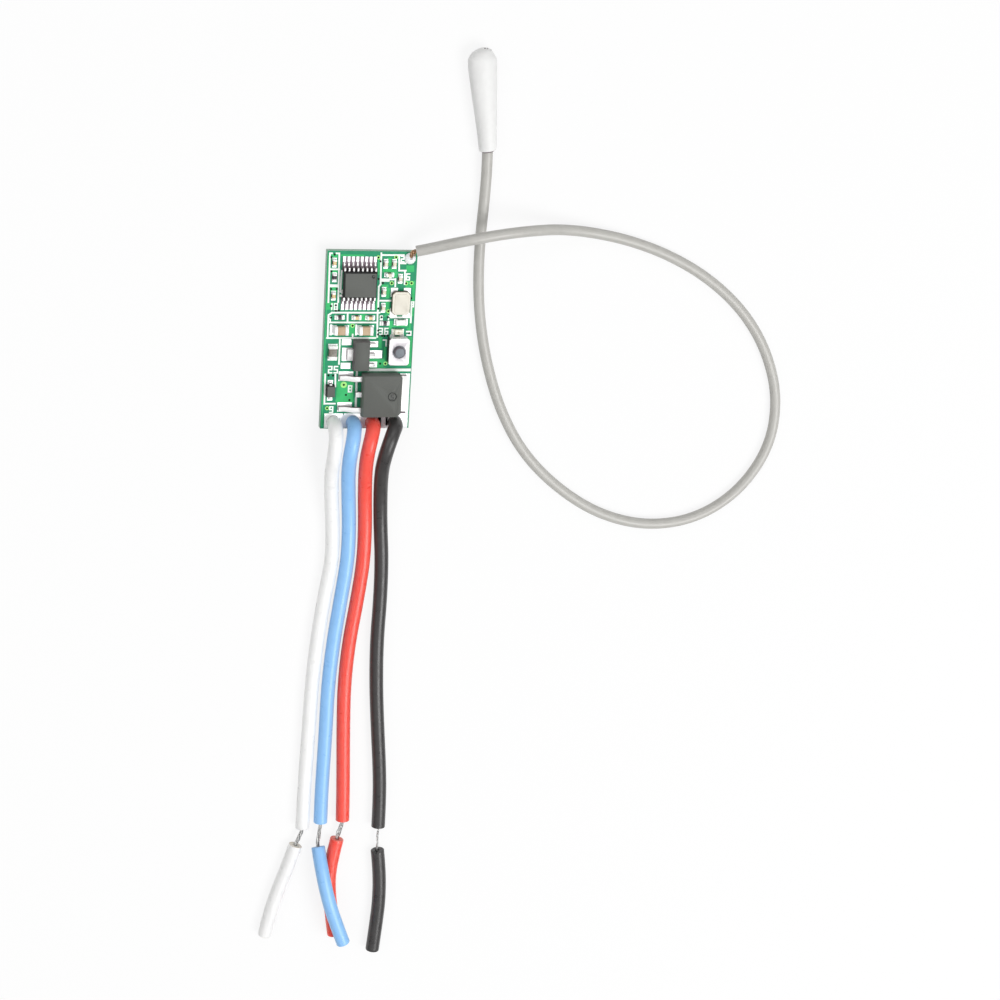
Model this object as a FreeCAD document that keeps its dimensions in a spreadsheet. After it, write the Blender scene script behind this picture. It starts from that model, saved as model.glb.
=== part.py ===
import FreeCAD, Part
import math
import os
import Sketcher

# Wireless receiver module: a small circuit board lying flat on a table, four stripped leads, a wire antenna.
# Millimetres. +Z is up, +Y runs along the board towards the antenna end, +X across it.
# The origin is on the table under the board's centre; the board stands on its underside solder joints.

Vector = FreeCAD.Vector
doc = FreeCAD.newDocument("wireless_receiver_module")
sizes = doc.addObject("Spreadsheet::Sheet", "sizes")

DRIVING_SIZES = [
    ("board_width", 13.0, "board across"),
    ("board_length", 26.0, "board along"),
    ("board_thickness", 1.2, "laminate with its copper and mask"),
    ("joint_height", 0.8, "solder joint below the board, which it stands on"),
    ("pad_thickness", 0.05, "tinned pad and its solder film"),
    ("pad_margin", 0.1, "pad beyond a terminal"),
    ("mask_depth", 0.035, "opening in the mask round an underside pad"),
    ("mask_gap", 0.03, "mask opening beyond its pad, all round"),
    ("lead_hole", 0.8, "drilled hole for a lead"),
    ("eyelet_wall", 0.06, "plating in a drilled hole"),
    ("eyelet_flange", 1.6, "underside pad of a drilled hole"),
    ("joint_base", 1.5, "solder joint at the board"),
    ("joint_tip", 0.8, "solder joint at its tip"),
    ("core_end_height", 0.15, "end of a lead's strands inside its joint"),
    ("lead_row_inset", 0.9, "row of lead holes from the board's end"),
    ("white_lead_x", -4.6, "white lead"),
    ("blue_lead_x", -1.75, "blue lead"),
    ("red_lead_x", 1.05, "red lead"),
    ("black_lead_x", 4.4, "black lead"),
    ("lead_pad_width", 2.7, "tinned pad round a lead, across"),
    ("lead_pad_length", 2.15, "tinned pad round a lead, along"),
    ("lead_outer", 2.1, "lead over its insulation"),
    ("lead_core", 0.6, "bundle of tinned strands"),
    ("core_gap", 0.03, "strands to insulation, all round"),
    ("strip_stub", 0.5, "straight strands at each cut end of the insulation"),
    ("core_in_end", 9.0, "strands inside a pulled-off end of insulation"),
    ("antenna_outer", 1.56, "antenna wire over its insulation"),
    ("antenna_core", 0.5, "bundle of bare copper strands"),
    ("antenna_side_inset", 1.05, "antenna hole from the board's side"),
    ("antenna_end_inset", 1.0, "antenna hole from the board's end"),
    ("antenna_dome", 0.82, "radius of the solder over the antenna hole"),
    ("antenna_dome_height", 0.68, "solder over the antenna hole"),
    ("antenna_dome_shoulder", 0.8, "share of the dome's radius that is left at half its height"),
    ("antenna_dome_crown", 0.4, "share of the dome's radius that is left close to its top"),
    ("antenna_strip", 3.0, "bare strands at the antenna's far end"),
    ("antenna_stub", 0.35, "straight strands where the antenna's insulation starts"),
    ("ic_x", -1.8, "receiver circuit"),
    ("ic_y", 8.35, "receiver circuit"),
    ("ic_length", 4.9, "moulded body across the board"),
    ("ic_width", 3.9, "moulded body along the board"),
    ("ic_upper", 0.7, "body above its parting line"),
    ("ic_lower", 0.65, "body below its parting line"),
    ("ic_standoff", 0.1, "under the body"),
    ("ic_draft", 19.0, "draft of a moulded side in degrees"),
    ("ic_pitch", 0.635, "lead to lead"),
    ("ic_row_count", 8, "leads in a row"),
    ("ic_lead_width", 0.25, "lead across"),
    ("ic_lead_thickness", 0.2, "lead"),
    ("ic_span", 6.0, "over the toes of both rows"),
    ("ic_foot", 0.55, "flat foot of a lead"),
    ("ic_pad_width", 0.43, "pad under a lead, across"),
    ("ic_pad_inner", 2.35, "inner end of a pad from the middle of the circuit"),
    ("ic_pad_outer", 3.85, "outer end of a pad from the middle of the circuit"),
    ("ic_shoulder", 0.3, "flat shoulder outside the body"),
    ("ic_lead_inside", 0.35, "lead held in the body"),
    ("ic_mark", 0.5, "dimple at the first lead"),
    ("ic_mark_depth", 0.08, "dimple"),
    ("ic_mark_inset", 0.45, "dimple from both edges of the top"),
    ("ic_paddle_length", 2.6, "die paddle"),
    ("ic_paddle_width", 2.0, "die paddle"),
    ("ic_die_length", 1.8, "silicon die"),
    ("ic_die_width", 1.5, "silicon die"),
    ("die_thickness", 0.25, "every silicon die"),
    ("mosfet_x", 1.97, "power transistor body"),
    ("mosfet_y", -7.7, "power transistor body"),
    ("mosfet_length", 5.8, "body across the board"),
    ("mosfet_width", 6.35, "body along the board"),
    ("mosfet_height", 2.3, "over the tab's underside"),
    ("mosfet_parting", 1.1, "parting line"),
    ("mosfet_draft", 7.0, "draft in degrees"),
    ("mosfet_corner", 0.35, "bevelled corner at the tab"),
    ("mosfet_near_corner", 0.65, "larger bevelled corner at the tab, towards the leads' end"),
    ("mosfet_pitch", 2.286, "lead to lead"),
    ("mosfet_lead_width", 0.75, "lead"),
    ("mosfet_lead_thickness", 0.5, "lead and tab"),
    ("mosfet_lead_height", 0.65, "underside of a lead where it leaves the body"),
    ("mosfet_shoulder", 0.85, "flat part outside the body"),
    ("mosfet_foot", 1.1, "foot of a lead"),
    ("mosfet_reach", 3.1, "toe of a lead from the body"),
    ("mosfet_lead_inside", 0.8, "lead held in the body"),
    ("mosfet_pad_length", 2.12, "pad of a lead, across the board"),
    ("mosfet_pad_width", 1.38, "pad of a lead, along the board"),
    ("mosfet_pad_shift", 0.2, "pad's centre from its lead's, along the board"),
    ("mosfet_tab_width", 5.3, "tab"),
    ("mosfet_tab_reach", 0.95, "tab beyond the body"),
    ("mosfet_tab_inside", 3.8, "tab under the body"),
    ("mosfet_mark", 1.35, "round ejector mark"),
    ("mosfet_mark_depth", 0.08, "ejector mark"),
    ("mosfet_mark_x", 1.4, "ejector mark from the body's centre"),
    ("mosfet_die_side", 2.2, "silicon die"),
    ("mosfet_die_x", 0.85, "silicon die from the body's centre"),
    ("tab_pad_length", 7.9, "long tinned pad under the tab"),
    ("tab_pad_reach", 0.5, "pad beyond the tab"),
    ("tab_pad_offset", -1.1, "pad's centre from the body's, along the board"),
    ("regulator_x", -1.1, "voltage regulator body"),
    ("regulator_y", -2.0, "voltage regulator body"),
    ("regulator_length", 4.5, "body along the board"),
    ("regulator_width", 2.4, "body across the board"),
    ("regulator_height", 1.5, "body"),
    ("regulator_draft", 6.0, "draft in degrees"),
    ("regulator_pitch", 1.5, "lead to lead"),
    ("regulator_lead_width", 0.45, "lead"),
    ("regulator_lead_thickness", 0.4, "lead and tab"),
    ("regulator_lead_reach", 0.9, "lead beyond the body"),
    ("regulator_lead_inside", 0.6, "lead held in the body"),
    ("regulator_tab_width", 1.7, "tab"),
    ("regulator_tab_reach", 0.8, "tab beyond the body"),
    ("regulator_tab_inside", 1.68, "tab under the body"),
    ("regulator_side_pad_reach", 1.28, "pad of an outer lead beyond the body"),
    ("regulator_middle_pad_reach", 1.95, "pad of the middle lead beyond the body"),
    ("regulator_pad_start", 0.05, "pads of the leads from the body"),
    ("regulator_side_pad_width", 0.85, "pad of an outer lead, along the board"),
    ("regulator_middle_pad_width", 1.15, "pad of the middle lead, along the board"),
    ("regulator_tab_pad_length", 1.6, "pad of the tab, across the board"),
    ("regulator_open_pad_x", -3.18, "two tinned areas beside the tab's pad"),
    ("regulator_open_pad_far_y", -0.22, "tinned area beside the tab's pad"),
    ("regulator_open_pad_near_y", -3.68, "tinned area beside the tab's pad"),
    ("regulator_open_pad_length", 1.4, "tinned area, across the board"),
    ("regulator_open_pad_width", 0.85, "tinned area, along the board"),
    ("regulator_die_side", 0.9, "silicon die"),
    ("diode_x", -5.3, "diode"),
    ("diode_y", -7.3, "diode"),
    ("diode_length", 1.75, "body along the board"),
    ("diode_width", 1.3, "body across the board"),
    ("diode_height", 0.95, "body"),
    ("diode_draft", 6.0, "draft in degrees"),
    ("diode_lead_width", 0.35, "lead"),
    ("diode_lead_thickness", 0.15, "lead"),
    ("diode_lead_height", 0.4, "lead where it leaves the body"),
    ("diode_shoulder", 0.12, "flat part outside the body"),
    ("diode_reach", 0.45, "toe of a lead from the body"),
    ("diode_lead_inside", 0.4, "lead held in the body"),
    ("diode_foot", 0.25, "foot of a lead"),
    ("diode_pad_width", 0.75, "pad, across the board"),
    ("diode_pad_length", 0.62, "pad, along the board"),
    ("crystal_x", 4.33, "quartz crystal"),
    ("crystal_y", 5.6, "quartz crystal"),
    ("crystal_length", 3.45, "ceramic base along the board"),
    ("crystal_width", 2.68, "ceramic base across the board"),
    ("crystal_base_height", 0.45, "ceramic base"),
    ("crystal_rim", 0.35, "wall of the base round the quartz"),
    ("crystal_floor", 0.2, "floor of the base"),
    ("crystal_corner", 0.42, "rounded corner of the base"),
    ("crystal_lid_inset", 0.06, "lid inside the base's edge"),
    ("crystal_lid_height", 0.2, "metal lid"),
    ("crystal_lid_panel", 0.34, "raised panel inside the lid's edge"),
    ("crystal_panel_height", 0.06, "raised panel"),
    ("quartz_thickness", 0.1, "quartz blank"),
    ("quartz_gap", 0.08, "blank to the base's wall"),
    ("crystal_terminal_length", 0.9, "corner terminal"),
    ("crystal_terminal_width", 0.8, "corner terminal"),
    ("crystal_pad_reach", 0.4, "pad beyond a corner terminal, along the board"),
    ("terminal_film", 0.06, "flat terminals under a package"),
    ("switch_x", 4.12, "pairing switch"),
    ("switch_y", -1.2, "pairing switch"),
    ("switch_length", 3.9, "cover along the board"),
    ("switch_width", 2.95, "cover across the board"),
    ("switch_height", 1.9, "cover over the board"),
    ("cover_thickness", 0.15, "cover sheet"),
    ("cover_skirt", 1.35, "cover's folded ends"),
    ("cover_corner", 0.25, "bevelled corner of the cover"),
    ("cover_hole", 1.9, "hole round the plunger"),
    ("housing_floor", 0.45, "moulded floor"),
    ("housing_side_gap", 0.1, "cover beyond the housing at each side"),
    ("plunger_stem", 1.46, "plunger above its flange"),
    ("plunger_flange", 2.2, "flange under the cover"),
    ("plunger_flange_height", 0.45, "flange"),
    ("plunger_top", 0.6, "plunger above the cover"),
    ("plunger_edge", 0.1, "rounded edge of the plunger"),
    ("plunger_guide_gap", 0.06, "flange to its guide, all round"),
    ("plunger_stop_gap", 0.02, "flange to the cover at rest"),
    ("plunger_nub", 0.6, "nub that presses the dome"),
    ("dome_radius", 0.95, "snap dome's rim"),
    ("dome_rise", 0.33, "snap dome at rest"),
    ("dome_sheet", 0.05, "snap dome sheet"),
    ("dome_knee", 0.55, "share of the dome's radius where its slope changes"),
    ("dome_gap", 0.02, "nub to dome at rest"),
    ("switch_pin_width", 0.5, "switch terminal"),
    ("switch_pin_thickness", 0.15, "switch terminal"),
    ("switch_pin_pitch", 1.4, "terminal to terminal"),
    ("switch_pin_reach", 0.25, "terminal beyond the housing"),
    ("switch_pad_margin", 0.06, "pad beyond a terminal, all round"),
    ("switch_pin_inside", 0.7, "terminal in the floor"),
    ("led_x", 4.16, "light-emitting diode"),
    ("led_y", 1.35, "light-emitting diode"),
    ("led_length", 1.6, "overall, across the board"),
    ("led_width", 0.8, "overall, along the board"),
    ("led_base_height", 0.25, "carrier plate"),
    ("led_lens_length", 1.1, "clear moulding"),
    ("led_lens_height", 0.35, "clear moulding"),
    ("led_lens_draft", 8.0, "draft in degrees"),
    ("led_terminal_length", 0.3, "end terminal"),
    ("led_terminal_film", 0.03, "end terminal"),
    ("led_die_side", 0.25, "light-emitting die"),
    ("led_die_height", 0.12, "light-emitting die"),
    ("chip_plating", 0.03, "end cap over the ceramic"),
    ("small_chip_length", 1.0, "small chip parts"),
    ("small_chip_width", 0.52, "small chip parts"),
    ("small_chip_cap", 0.25, "end cap of a small chip part"),
    ("small_capacitor_height", 0.5, "small capacitor"),
    ("small_resistor_height", 0.35, "small resistor"),
    ("small_inductor_height", 0.5, "small inductor"),
    ("large_chip_length", 2.0, "large chip parts"),
    ("large_chip_width", 1.25, "large chip parts"),
    ("large_chip_cap", 0.45, "end cap of a large chip part"),
    ("large_capacitor_height", 0.9, "large capacitor"),
    ("large_resistor_height", 0.55, "large resistor"),
    ("large_open_pad_width", 1.55, "tinned area left of a large capacitor, along the board"),
    ("large_open_pad_a_x", -5.53, "tinned area left of the first large capacitor"),
    ("large_open_pad_a_length", 0.34, "tinned area, across the board"),
    ("large_open_pad_b_x", -1.9, "tinned area left of the second large capacitor"),
    ("large_open_pad_b_length", 0.24, "tinned area, across the board"),
    ("middle_chip_length", 1.6, "middle-sized inductor"),
    ("middle_chip_width", 0.82, "middle-sized inductor"),
    ("middle_chip_cap", 0.3, "end cap of the middle-sized inductor"),
    ("middle_inductor_height", 0.6, "middle-sized inductor"),
]

# Chip parts: kind, letter, centre across and along the board, and the axis that the length follows
CHIP_PLACES = [
    ("small_capacitor", "a", -5.45, 11.3, "along"),
    ("small_capacitor", "b", -5.39, 6.55, "along"),
    ("small_capacitor", "c", -1.92, 3.38, "across"),
    ("small_capacitor", "d", 0.05, 3.36, "across"),
    ("small_resistor", "a", -5.36, 9.2, "along"),
    ("small_resistor", "b", -4.37, 3.39, "across"),
    ("small_resistor", "c", 2.19, 2.56, "across"),
    ("small_inductor", "a", 1.94, 11.2, "along"),
    ("small_inductor", "b", 3.18, 11.2, "along"),
    ("small_inductor", "c", 2.52, 9.6, "across"),
    ("small_inductor", "d", 4.15, 9.06, "along"),
    ("small_inductor", "e", 1.86, 7.14, "along"),
    ("small_inductor", "f", 1.87, 4.82, "along"),
    ("large_capacitor", "a", -4.15, 1.58, "across"),
    ("large_capacitor", "b", -0.56, 1.58, "across"),
    ("large_resistor", "a", -5.16, -1.68, "along"),
    ("middle_inductor", "a", 4.56, 2.75, "across"),
]
CHIP_CLASS = {
    "small_capacitor": "small_chip",
    "small_resistor": "small_chip",
    "small_inductor": "small_chip",
    "large_capacitor": "large_chip",
    "large_resistor": "large_chip",
    "middle_inductor": "middle_chip",
}


def fill_sheet():
    """Write every driving size into the sheet, one row each, with its name as the alias."""
    rows = list(DRIVING_SIZES)
    for kind, letter, x, y, _ in CHIP_PLACES:
        rows.append((f"{kind}_{letter}_x", x, "chip part across the board"))
        rows.append((f"{kind}_{letter}_y", y, "chip part along the board"))
    for row, (alias, value, note) in enumerate(rows, start=2):
        sizes.set(f"A{row}", note)
        sizes.set(f"B{row}", str(value))
        sizes.setAlias(f"B{row}", alias)
    doc.recompute()


fill_sheet()

# Levels and places used by many pieces, as expressions on the sheet
UNDERSIDE = "sizes.joint_height"
BOARD_TOP = "(sizes.joint_height + sizes.board_thickness)"
SEAT = "(sizes.joint_height + sizes.board_thickness + sizes.pad_thickness)"
LEAD_ROW = "(sizes.lead_row_inset - sizes.board_length / 2)"
ANTENNA_X = "(sizes.board_width / 2 - sizes.antenna_side_inset)"
ANTENNA_Y = "(sizes.board_length / 2 - sizes.antenna_end_inset)"

nodes = []
pads = []


def value(expression):
    """The number that an expression on the sheet gives."""
    return float(sizes.evalExpression(str(expression)))


def named(alias):
    return value(f"sizes.{alias}")


def keep(solid, name):
    """List an object as a node, under the name of its file."""
    solid.Label = name
    nodes.append((name, solid))
    return solid


def origin_feature(body, role):
    for feature in body.Origin.OriginFeatures:
        if feature.Role == role:
            return feature
    raise ValueError(role)


def place(solid, x="0", y="0", z="0"):
    solid.setExpression("Placement.Base.x", x)
    solid.setExpression("Placement.Base.y", y)
    solid.setExpression("Placement.Base.z", z)
    return solid


def new_body(name):
    return doc.addObject("PartDesign::Body", name)


def sketch_on(body, role, name, height=None):
    sketch = body.newObject("Sketcher::SketchObject", name)
    sketch.AttachmentSupport = [(origin_feature(body, role), "")]
    sketch.MapMode = "FlatFace"
    if height is not None:
        sketch.setExpression("AttachmentOffset.Base.z", height)
    return sketch


def tie_point(sketch, edge, end, x, y):
    """Fix one point of a sketch at two expressions, measured from the sketch's origin."""
    for kind, expression in (("DistanceX", x), ("DistanceY", y)):
        index = sketch.addConstraint(Sketcher.Constraint(kind, -1, 1, edge, end, value(expression)))
        label = f"{kind}_{edge}_{end}"
        sketch.renameConstraint(index, label)
        sketch.setExpression(f"Constraints.{label}", expression)


def add_outline(sketch, points):
    """A closed outline of straight lines through points given as pairs of expressions."""
    places = [Vector(value(x), value(y), 0) for x, y in points]
    first = sketch.GeometryCount
    count = len(points)
    for i in range(count):
        sketch.addGeometry(Part.LineSegment(places[i], places[(i + 1) % count]))
    for i in range(count):
        sketch.addConstraint(Sketcher.Constraint("Coincident", first + i, 2, first + (i + 1) % count, 1))
    for i, (x, y) in enumerate(points):
        tie_point(sketch, first + i, 1, x, y)


def add_circle(sketch, x, y, radius):
    index = sketch.addGeometry(Part.Circle(Vector(value(x), value(y), 0), Vector(0, 0, 1), value(radius)))
    tie_point(sketch, index, 3, x, y)
    constraint = sketch.addConstraint(Sketcher.Constraint("Radius", index, value(radius)))
    sketch.renameConstraint(constraint, f"Radius_{index}")
    sketch.setExpression(f"Constraints.Radius_{index}", radius)


def rectangle(length, width, corner="0"):
    """Corner points of a centred rectangle; a corner size bevels all four."""
    half_x, half_y = f"({length}) / 2", f"({width}) / 2"
    if corner == "0":
        return [
            (f"-{half_x}", f"-{half_y}"), (half_x, f"-{half_y}"), (half_x, half_y), (f"-{half_x}", half_y),
        ]
    cut_x, cut_y = f"{half_x} - ({corner})", f"{half_y} - ({corner})"
    return [
        (f"-({cut_x})", f"-{half_y}"), (cut_x, f"-{half_y}"), (half_x, f"-({cut_y})"), (half_x, cut_y),
        (cut_x, half_y), (f"-({cut_x})", half_y), (f"-{half_x}", cut_y), (f"-{half_x}", f"-({cut_y})"),
    ]


def pad_up(body, name, points, height, start="0", draft=None, down=False):
    """Pad an outline on the body's XY plane, up or down from the level start."""
    sketch = sketch_on(body, "XY_Plane", f"{name}_outline", start)
    add_outline(sketch, points)
    doc.recompute()
    pad = body.newObject("PartDesign::Pad", name)
    pad.Profile = sketch
    pad.setExpression("Length", height)
    pad.Reversed = down
    if draft:
        pad.setExpression("TaperAngle", f"-({draft})")
    return pad


def pocket_circles(body, name, circles, depth, start, through=False):
    """Cut round pockets down from the level start, or right through; a circle is x, y, radius."""
    sketch = sketch_on(body, "XY_Plane", f"{name}_outline", start)
    for x, y, radius in circles:
        add_circle(sketch, x, y, radius)
    doc.recompute()
    before = body.Shape.Volume
    pocket = body.newObject("PartDesign::Pocket", name)
    pocket.Profile = sketch
    if through:
        pocket.Type = "ThroughAll"
        pocket.SideType = "Symmetric"
    else:
        pocket.setExpression("Length", depth)
    doc.recompute()
    if body.Shape.Volume >= before - 1e-6:
        raise RuntimeError(f"{name} cuts nothing")
    return pocket


def turned_body(name, points):
    """A body of revolution about +Z from an outline in the XZ plane."""
    body = new_body(name)
    sketch = sketch_on(body, "XZ_Plane", f"{name}_outline")
    add_outline(sketch, points)
    doc.recompute()
    turn = body.newObject("PartDesign::Revolution", f"{name}_turn")
    turn.Profile = sketch
    turn.ReferenceAxis = (origin_feature(body, "Z_Axis"), [""])
    turn.Angle = 360.0
    return body


def strip_body(name, role, points, width):
    """A bent strip: its side outline in a vertical plane, padded evenly to both sides."""
    body = new_body(name)
    sketch = sketch_on(body, role, f"{name}_outline")
    add_outline(sketch, points)
    doc.recompute()
    pad = body.newObject("PartDesign::Pad", f"{name}_pad")
    pad.Profile = sketch
    pad.SideType = "Symmetric"
    pad.setExpression("Length", width)
    return body


def block(name, length, width, height, x, y, z):
    """A box centred on x and y with its underside at z."""
    solid = doc.addObject("Part::Box", name)
    solid.setExpression("Length", length)
    solid.setExpression("Width", width)
    solid.setExpression("Height", height)
    return place(solid, f"({x}) - ({length}) / 2", f"({y}) - ({width}) / 2", z)


def rod(name, radius, height, x, y, z):
    solid = doc.addObject("Part::Cylinder", name)
    solid.setExpression("Radius", radius)
    solid.setExpression("Height", height)
    return place(solid, x, y, z)


def cut(name, base, tool):
    solid = doc.addObject("Part::Cut", name)
    solid.Base = base
    solid.Tool = tool
    return solid


def fuse(name, parts):
    solid = doc.addObject("Part::MultiFuse", name)
    solid.Shapes = parts
    return solid


def group(name, parts):
    """Separate solids kept together as one object."""
    solid = doc.addObject("Part::Compound", name)
    solid.Links = parts
    return solid


def mirrored(name, source, normal, base=Vector(0, 0, 0)):
    solid = doc.addObject("Part::Mirroring", name)
    solid.Source = source
    solid.Normal = normal
    solid.Base = base
    return solid


def moulded(name, body, inner):
    """A moulded package: its block with the metal and the die that it was moulded round taken out."""
    held = group(f"{name}_inner", inner)
    return keep(cut(f"{name}_moulded", body, held), name)


def add_pad(name, length, width, x, y):
    pads.append(block(f"{name}_pad", length, width, "sizes.pad_thickness", x, y, BOARD_TOP))


def make_board():
    """Laminate with drilled holes, and mask openings round the underside pads."""
    body = new_body("board_body")
    pad_up(body, "laminate", rectangle("sizes.board_width", "sizes.board_length"), "sizes.board_thickness")
    holes = [(f"sizes.{lead}_lead_x", LEAD_ROW) for lead in LEADS]
    holes.append((ANTENNA_X, ANTENNA_Y))
    opening = "sizes.eyelet_flange / 2 + sizes.mask_gap"
    pocket_circles(body, "drilled_holes", [(x, y, "sizes.lead_hole / 2") for x, y in holes],
                   None, "sizes.board_thickness", through=True)
    pocket_circles(body, "mask_openings", [(x, y, opening) for x, y in holes],
                   "sizes.mask_depth", "sizes.mask_depth")
    place(body, z=UNDERSIDE)
    keep(body, "circuit_board")


def make_eyelets():
    """Plated holes: a thin barrel with a flange in the mask opening underneath."""
    made = []
    bore = "sizes.lead_hole / 2 - sizes.eyelet_wall"
    places = [(f"{lead}_lead", f"sizes.{lead}_lead_x", LEAD_ROW) for lead in LEADS]
    places.append(("antenna", ANTENNA_X, ANTENNA_Y))
    for name, x, y in places:
        eyelet = turned_body(f"{name}_eyelet", [
            (bore, "0"), ("sizes.eyelet_flange / 2", "0"), ("sizes.eyelet_flange / 2", "sizes.mask_depth"),
            ("sizes.lead_hole / 2", "sizes.mask_depth"), ("sizes.lead_hole / 2", "sizes.board_thickness"),
            (bore, "sizes.board_thickness"),
        ])
        made.append(place(eyelet, x, y, UNDERSIDE))
    keep(group("eyelets", made), "plated_hole_eyelets")


def make_lead_joints():
    """Cones of solder on the underside, each closed over the end of its strands."""
    made = []
    core = "sizes.lead_core / 2"
    for lead in LEADS:
        joint = turned_body(f"{lead}_joint", [
            ("0", "0"), ("sizes.joint_tip / 2", "0"), ("sizes.joint_base / 2", "sizes.joint_height"),
            (core, "sizes.joint_height"), (core, "sizes.core_end_height"), ("0", "sizes.core_end_height"),
        ])
        made.append(place(joint, f"sizes.{lead}_lead_x", LEAD_ROW, "0"))
    keep(group("lead_joints", made), "lead_solder_joints")


def make_antenna_joint(core):
    """One piece of solder: a cone underneath, a neck through the hole and a dome on top round the strands."""
    neck = "(sizes.lead_hole / 2 - sizes.eyelet_wall)"
    joint = turned_body("antenna_joint", [
        ("0", "0"), ("sizes.joint_tip / 2", "0"), ("sizes.joint_base / 2", "sizes.joint_height"),
        (neck, "sizes.joint_height"), (neck, BOARD_TOP + " + sizes.pad_thickness"),
        ("sizes.antenna_dome", SEAT),
        ("sizes.antenna_dome * sizes.antenna_dome_shoulder", SEAT + " + sizes.antenna_dome_height / 2"),
        ("sizes.antenna_dome * sizes.antenna_dome_crown", SEAT + " + sizes.antenna_dome_height * 0.9"),
        ("0", SEAT + " + sizes.antenna_dome_height"),
    ])
    place(joint, ANTENNA_X, ANTENNA_Y, "0")
    keep(cut("antenna_joint_bored", joint, core), "antenna_solder_joint")


def gull_wing(name, role, inside, body_edge, shoulder, foot, toe, height, thickness, width):
    """A lead that leaves a body flat, steps down and ends in a flat foot, measured out from the centre."""
    knee = f"({body_edge}) + ({shoulder})"
    heel = f"({toe}) - ({foot})"
    top = f"({height}) + ({thickness})"
    points = [
        (f"({body_edge}) - ({inside})", height), (knee, height), (heel, "0"), (toe, "0"), (toe, thickness),
        (f"{heel} + ({thickness}) / 2", thickness), (f"{knee} + ({thickness}) / 2", top),
        (f"({body_edge}) - ({inside})", top),
    ]
    return strip_body(name, role, points, width)


def make_receiver_ic():
    """Sixteen-lead circuit: two rows of leads, a die on its paddle and the block moulded round them."""
    level = "(sizes.ic_standoff + sizes.ic_lower)"
    lead = gull_wing("ic_lead", "YZ_Plane", "sizes.ic_lead_inside", "sizes.ic_width / 2", "sizes.ic_shoulder",
                     "sizes.ic_foot", "sizes.ic_span / 2", f"{level} - sizes.ic_lead_thickness / 2",
                     "sizes.ic_lead_thickness", "sizes.ic_lead_width")
    lead.AllowCompound = True
    row = lead.newObject("PartDesign::LinearPattern", "ic_row")
    row.Originals = [lead.getObject("ic_lead_pad")]
    row.Direction = (origin_feature(lead, "X_Axis"), [""])
    row.Mode = "Spacing"
    row.setExpression("Offset", "sizes.ic_pitch")
    row.setExpression("Occurrences", "sizes.ic_row_count")
    lead.Tip = row
    place(lead, x="-sizes.ic_pitch * (sizes.ic_row_count - 1) / 2")
    other = mirrored("ic_other_row", lead, Vector(0, 1, 0))
    frame = group("ic_lead_rows", [lead, other])
    place(frame, "sizes.ic_x", "sizes.ic_y", SEAT)
    keep(frame, "receiver_ic_leads")

    paddle_level = f"{SEAT} + {level} - sizes.ic_lead_thickness / 2"
    paddle = block("ic_paddle", "sizes.ic_paddle_length", "sizes.ic_paddle_width", "sizes.ic_lead_thickness",
                   "sizes.ic_x", "sizes.ic_y", paddle_level)
    keep(paddle, "receiver_ic_paddle")
    die = block("ic_die", "sizes.ic_die_length", "sizes.ic_die_width", "sizes.die_thickness",
                "sizes.ic_x", "sizes.ic_y", f"{paddle_level} + sizes.ic_lead_thickness")
    keep(die, "receiver_ic_die")

    body = new_body("ic_block")
    outline = rectangle("sizes.ic_length", "sizes.ic_width")
    pad_up(body, "ic_upper_half", outline, "sizes.ic_upper", level, "sizes.ic_draft")
    pad_up(body, "ic_lower_half", outline, "sizes.ic_lower", level, "sizes.ic_draft", down=True)
    mark_x = "sizes.ic_length / 2 - sizes.ic_mark_inset - sizes.ic_mark / 2"
    mark_y = "sizes.ic_width / 2 - sizes.ic_mark_inset - sizes.ic_mark / 2"
    pocket_circles(body, "first_lead_mark", [(mark_x, mark_y, "sizes.ic_mark / 2")], "sizes.ic_mark_depth",
                   f"{level} + sizes.ic_upper")
    place(body, "sizes.ic_x", "sizes.ic_y", SEAT)
    moulded("receiver_ic_body", body, [frame, paddle, die])

    row_y = "(sizes.ic_pad_inner + sizes.ic_pad_outer) / 2"
    for side, sign in (("near", "-"), ("far", "+")):
        for i in range(int(named("ic_row_count"))):
            x = f"sizes.ic_x + sizes.ic_pitch * ({i} - (sizes.ic_row_count - 1) / 2)"
            add_pad(f"ic_{side}_{i}", "sizes.ic_pad_width", "sizes.ic_pad_outer - sizes.ic_pad_inner",
                    x, f"sizes.ic_y {sign} {row_y}")


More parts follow.
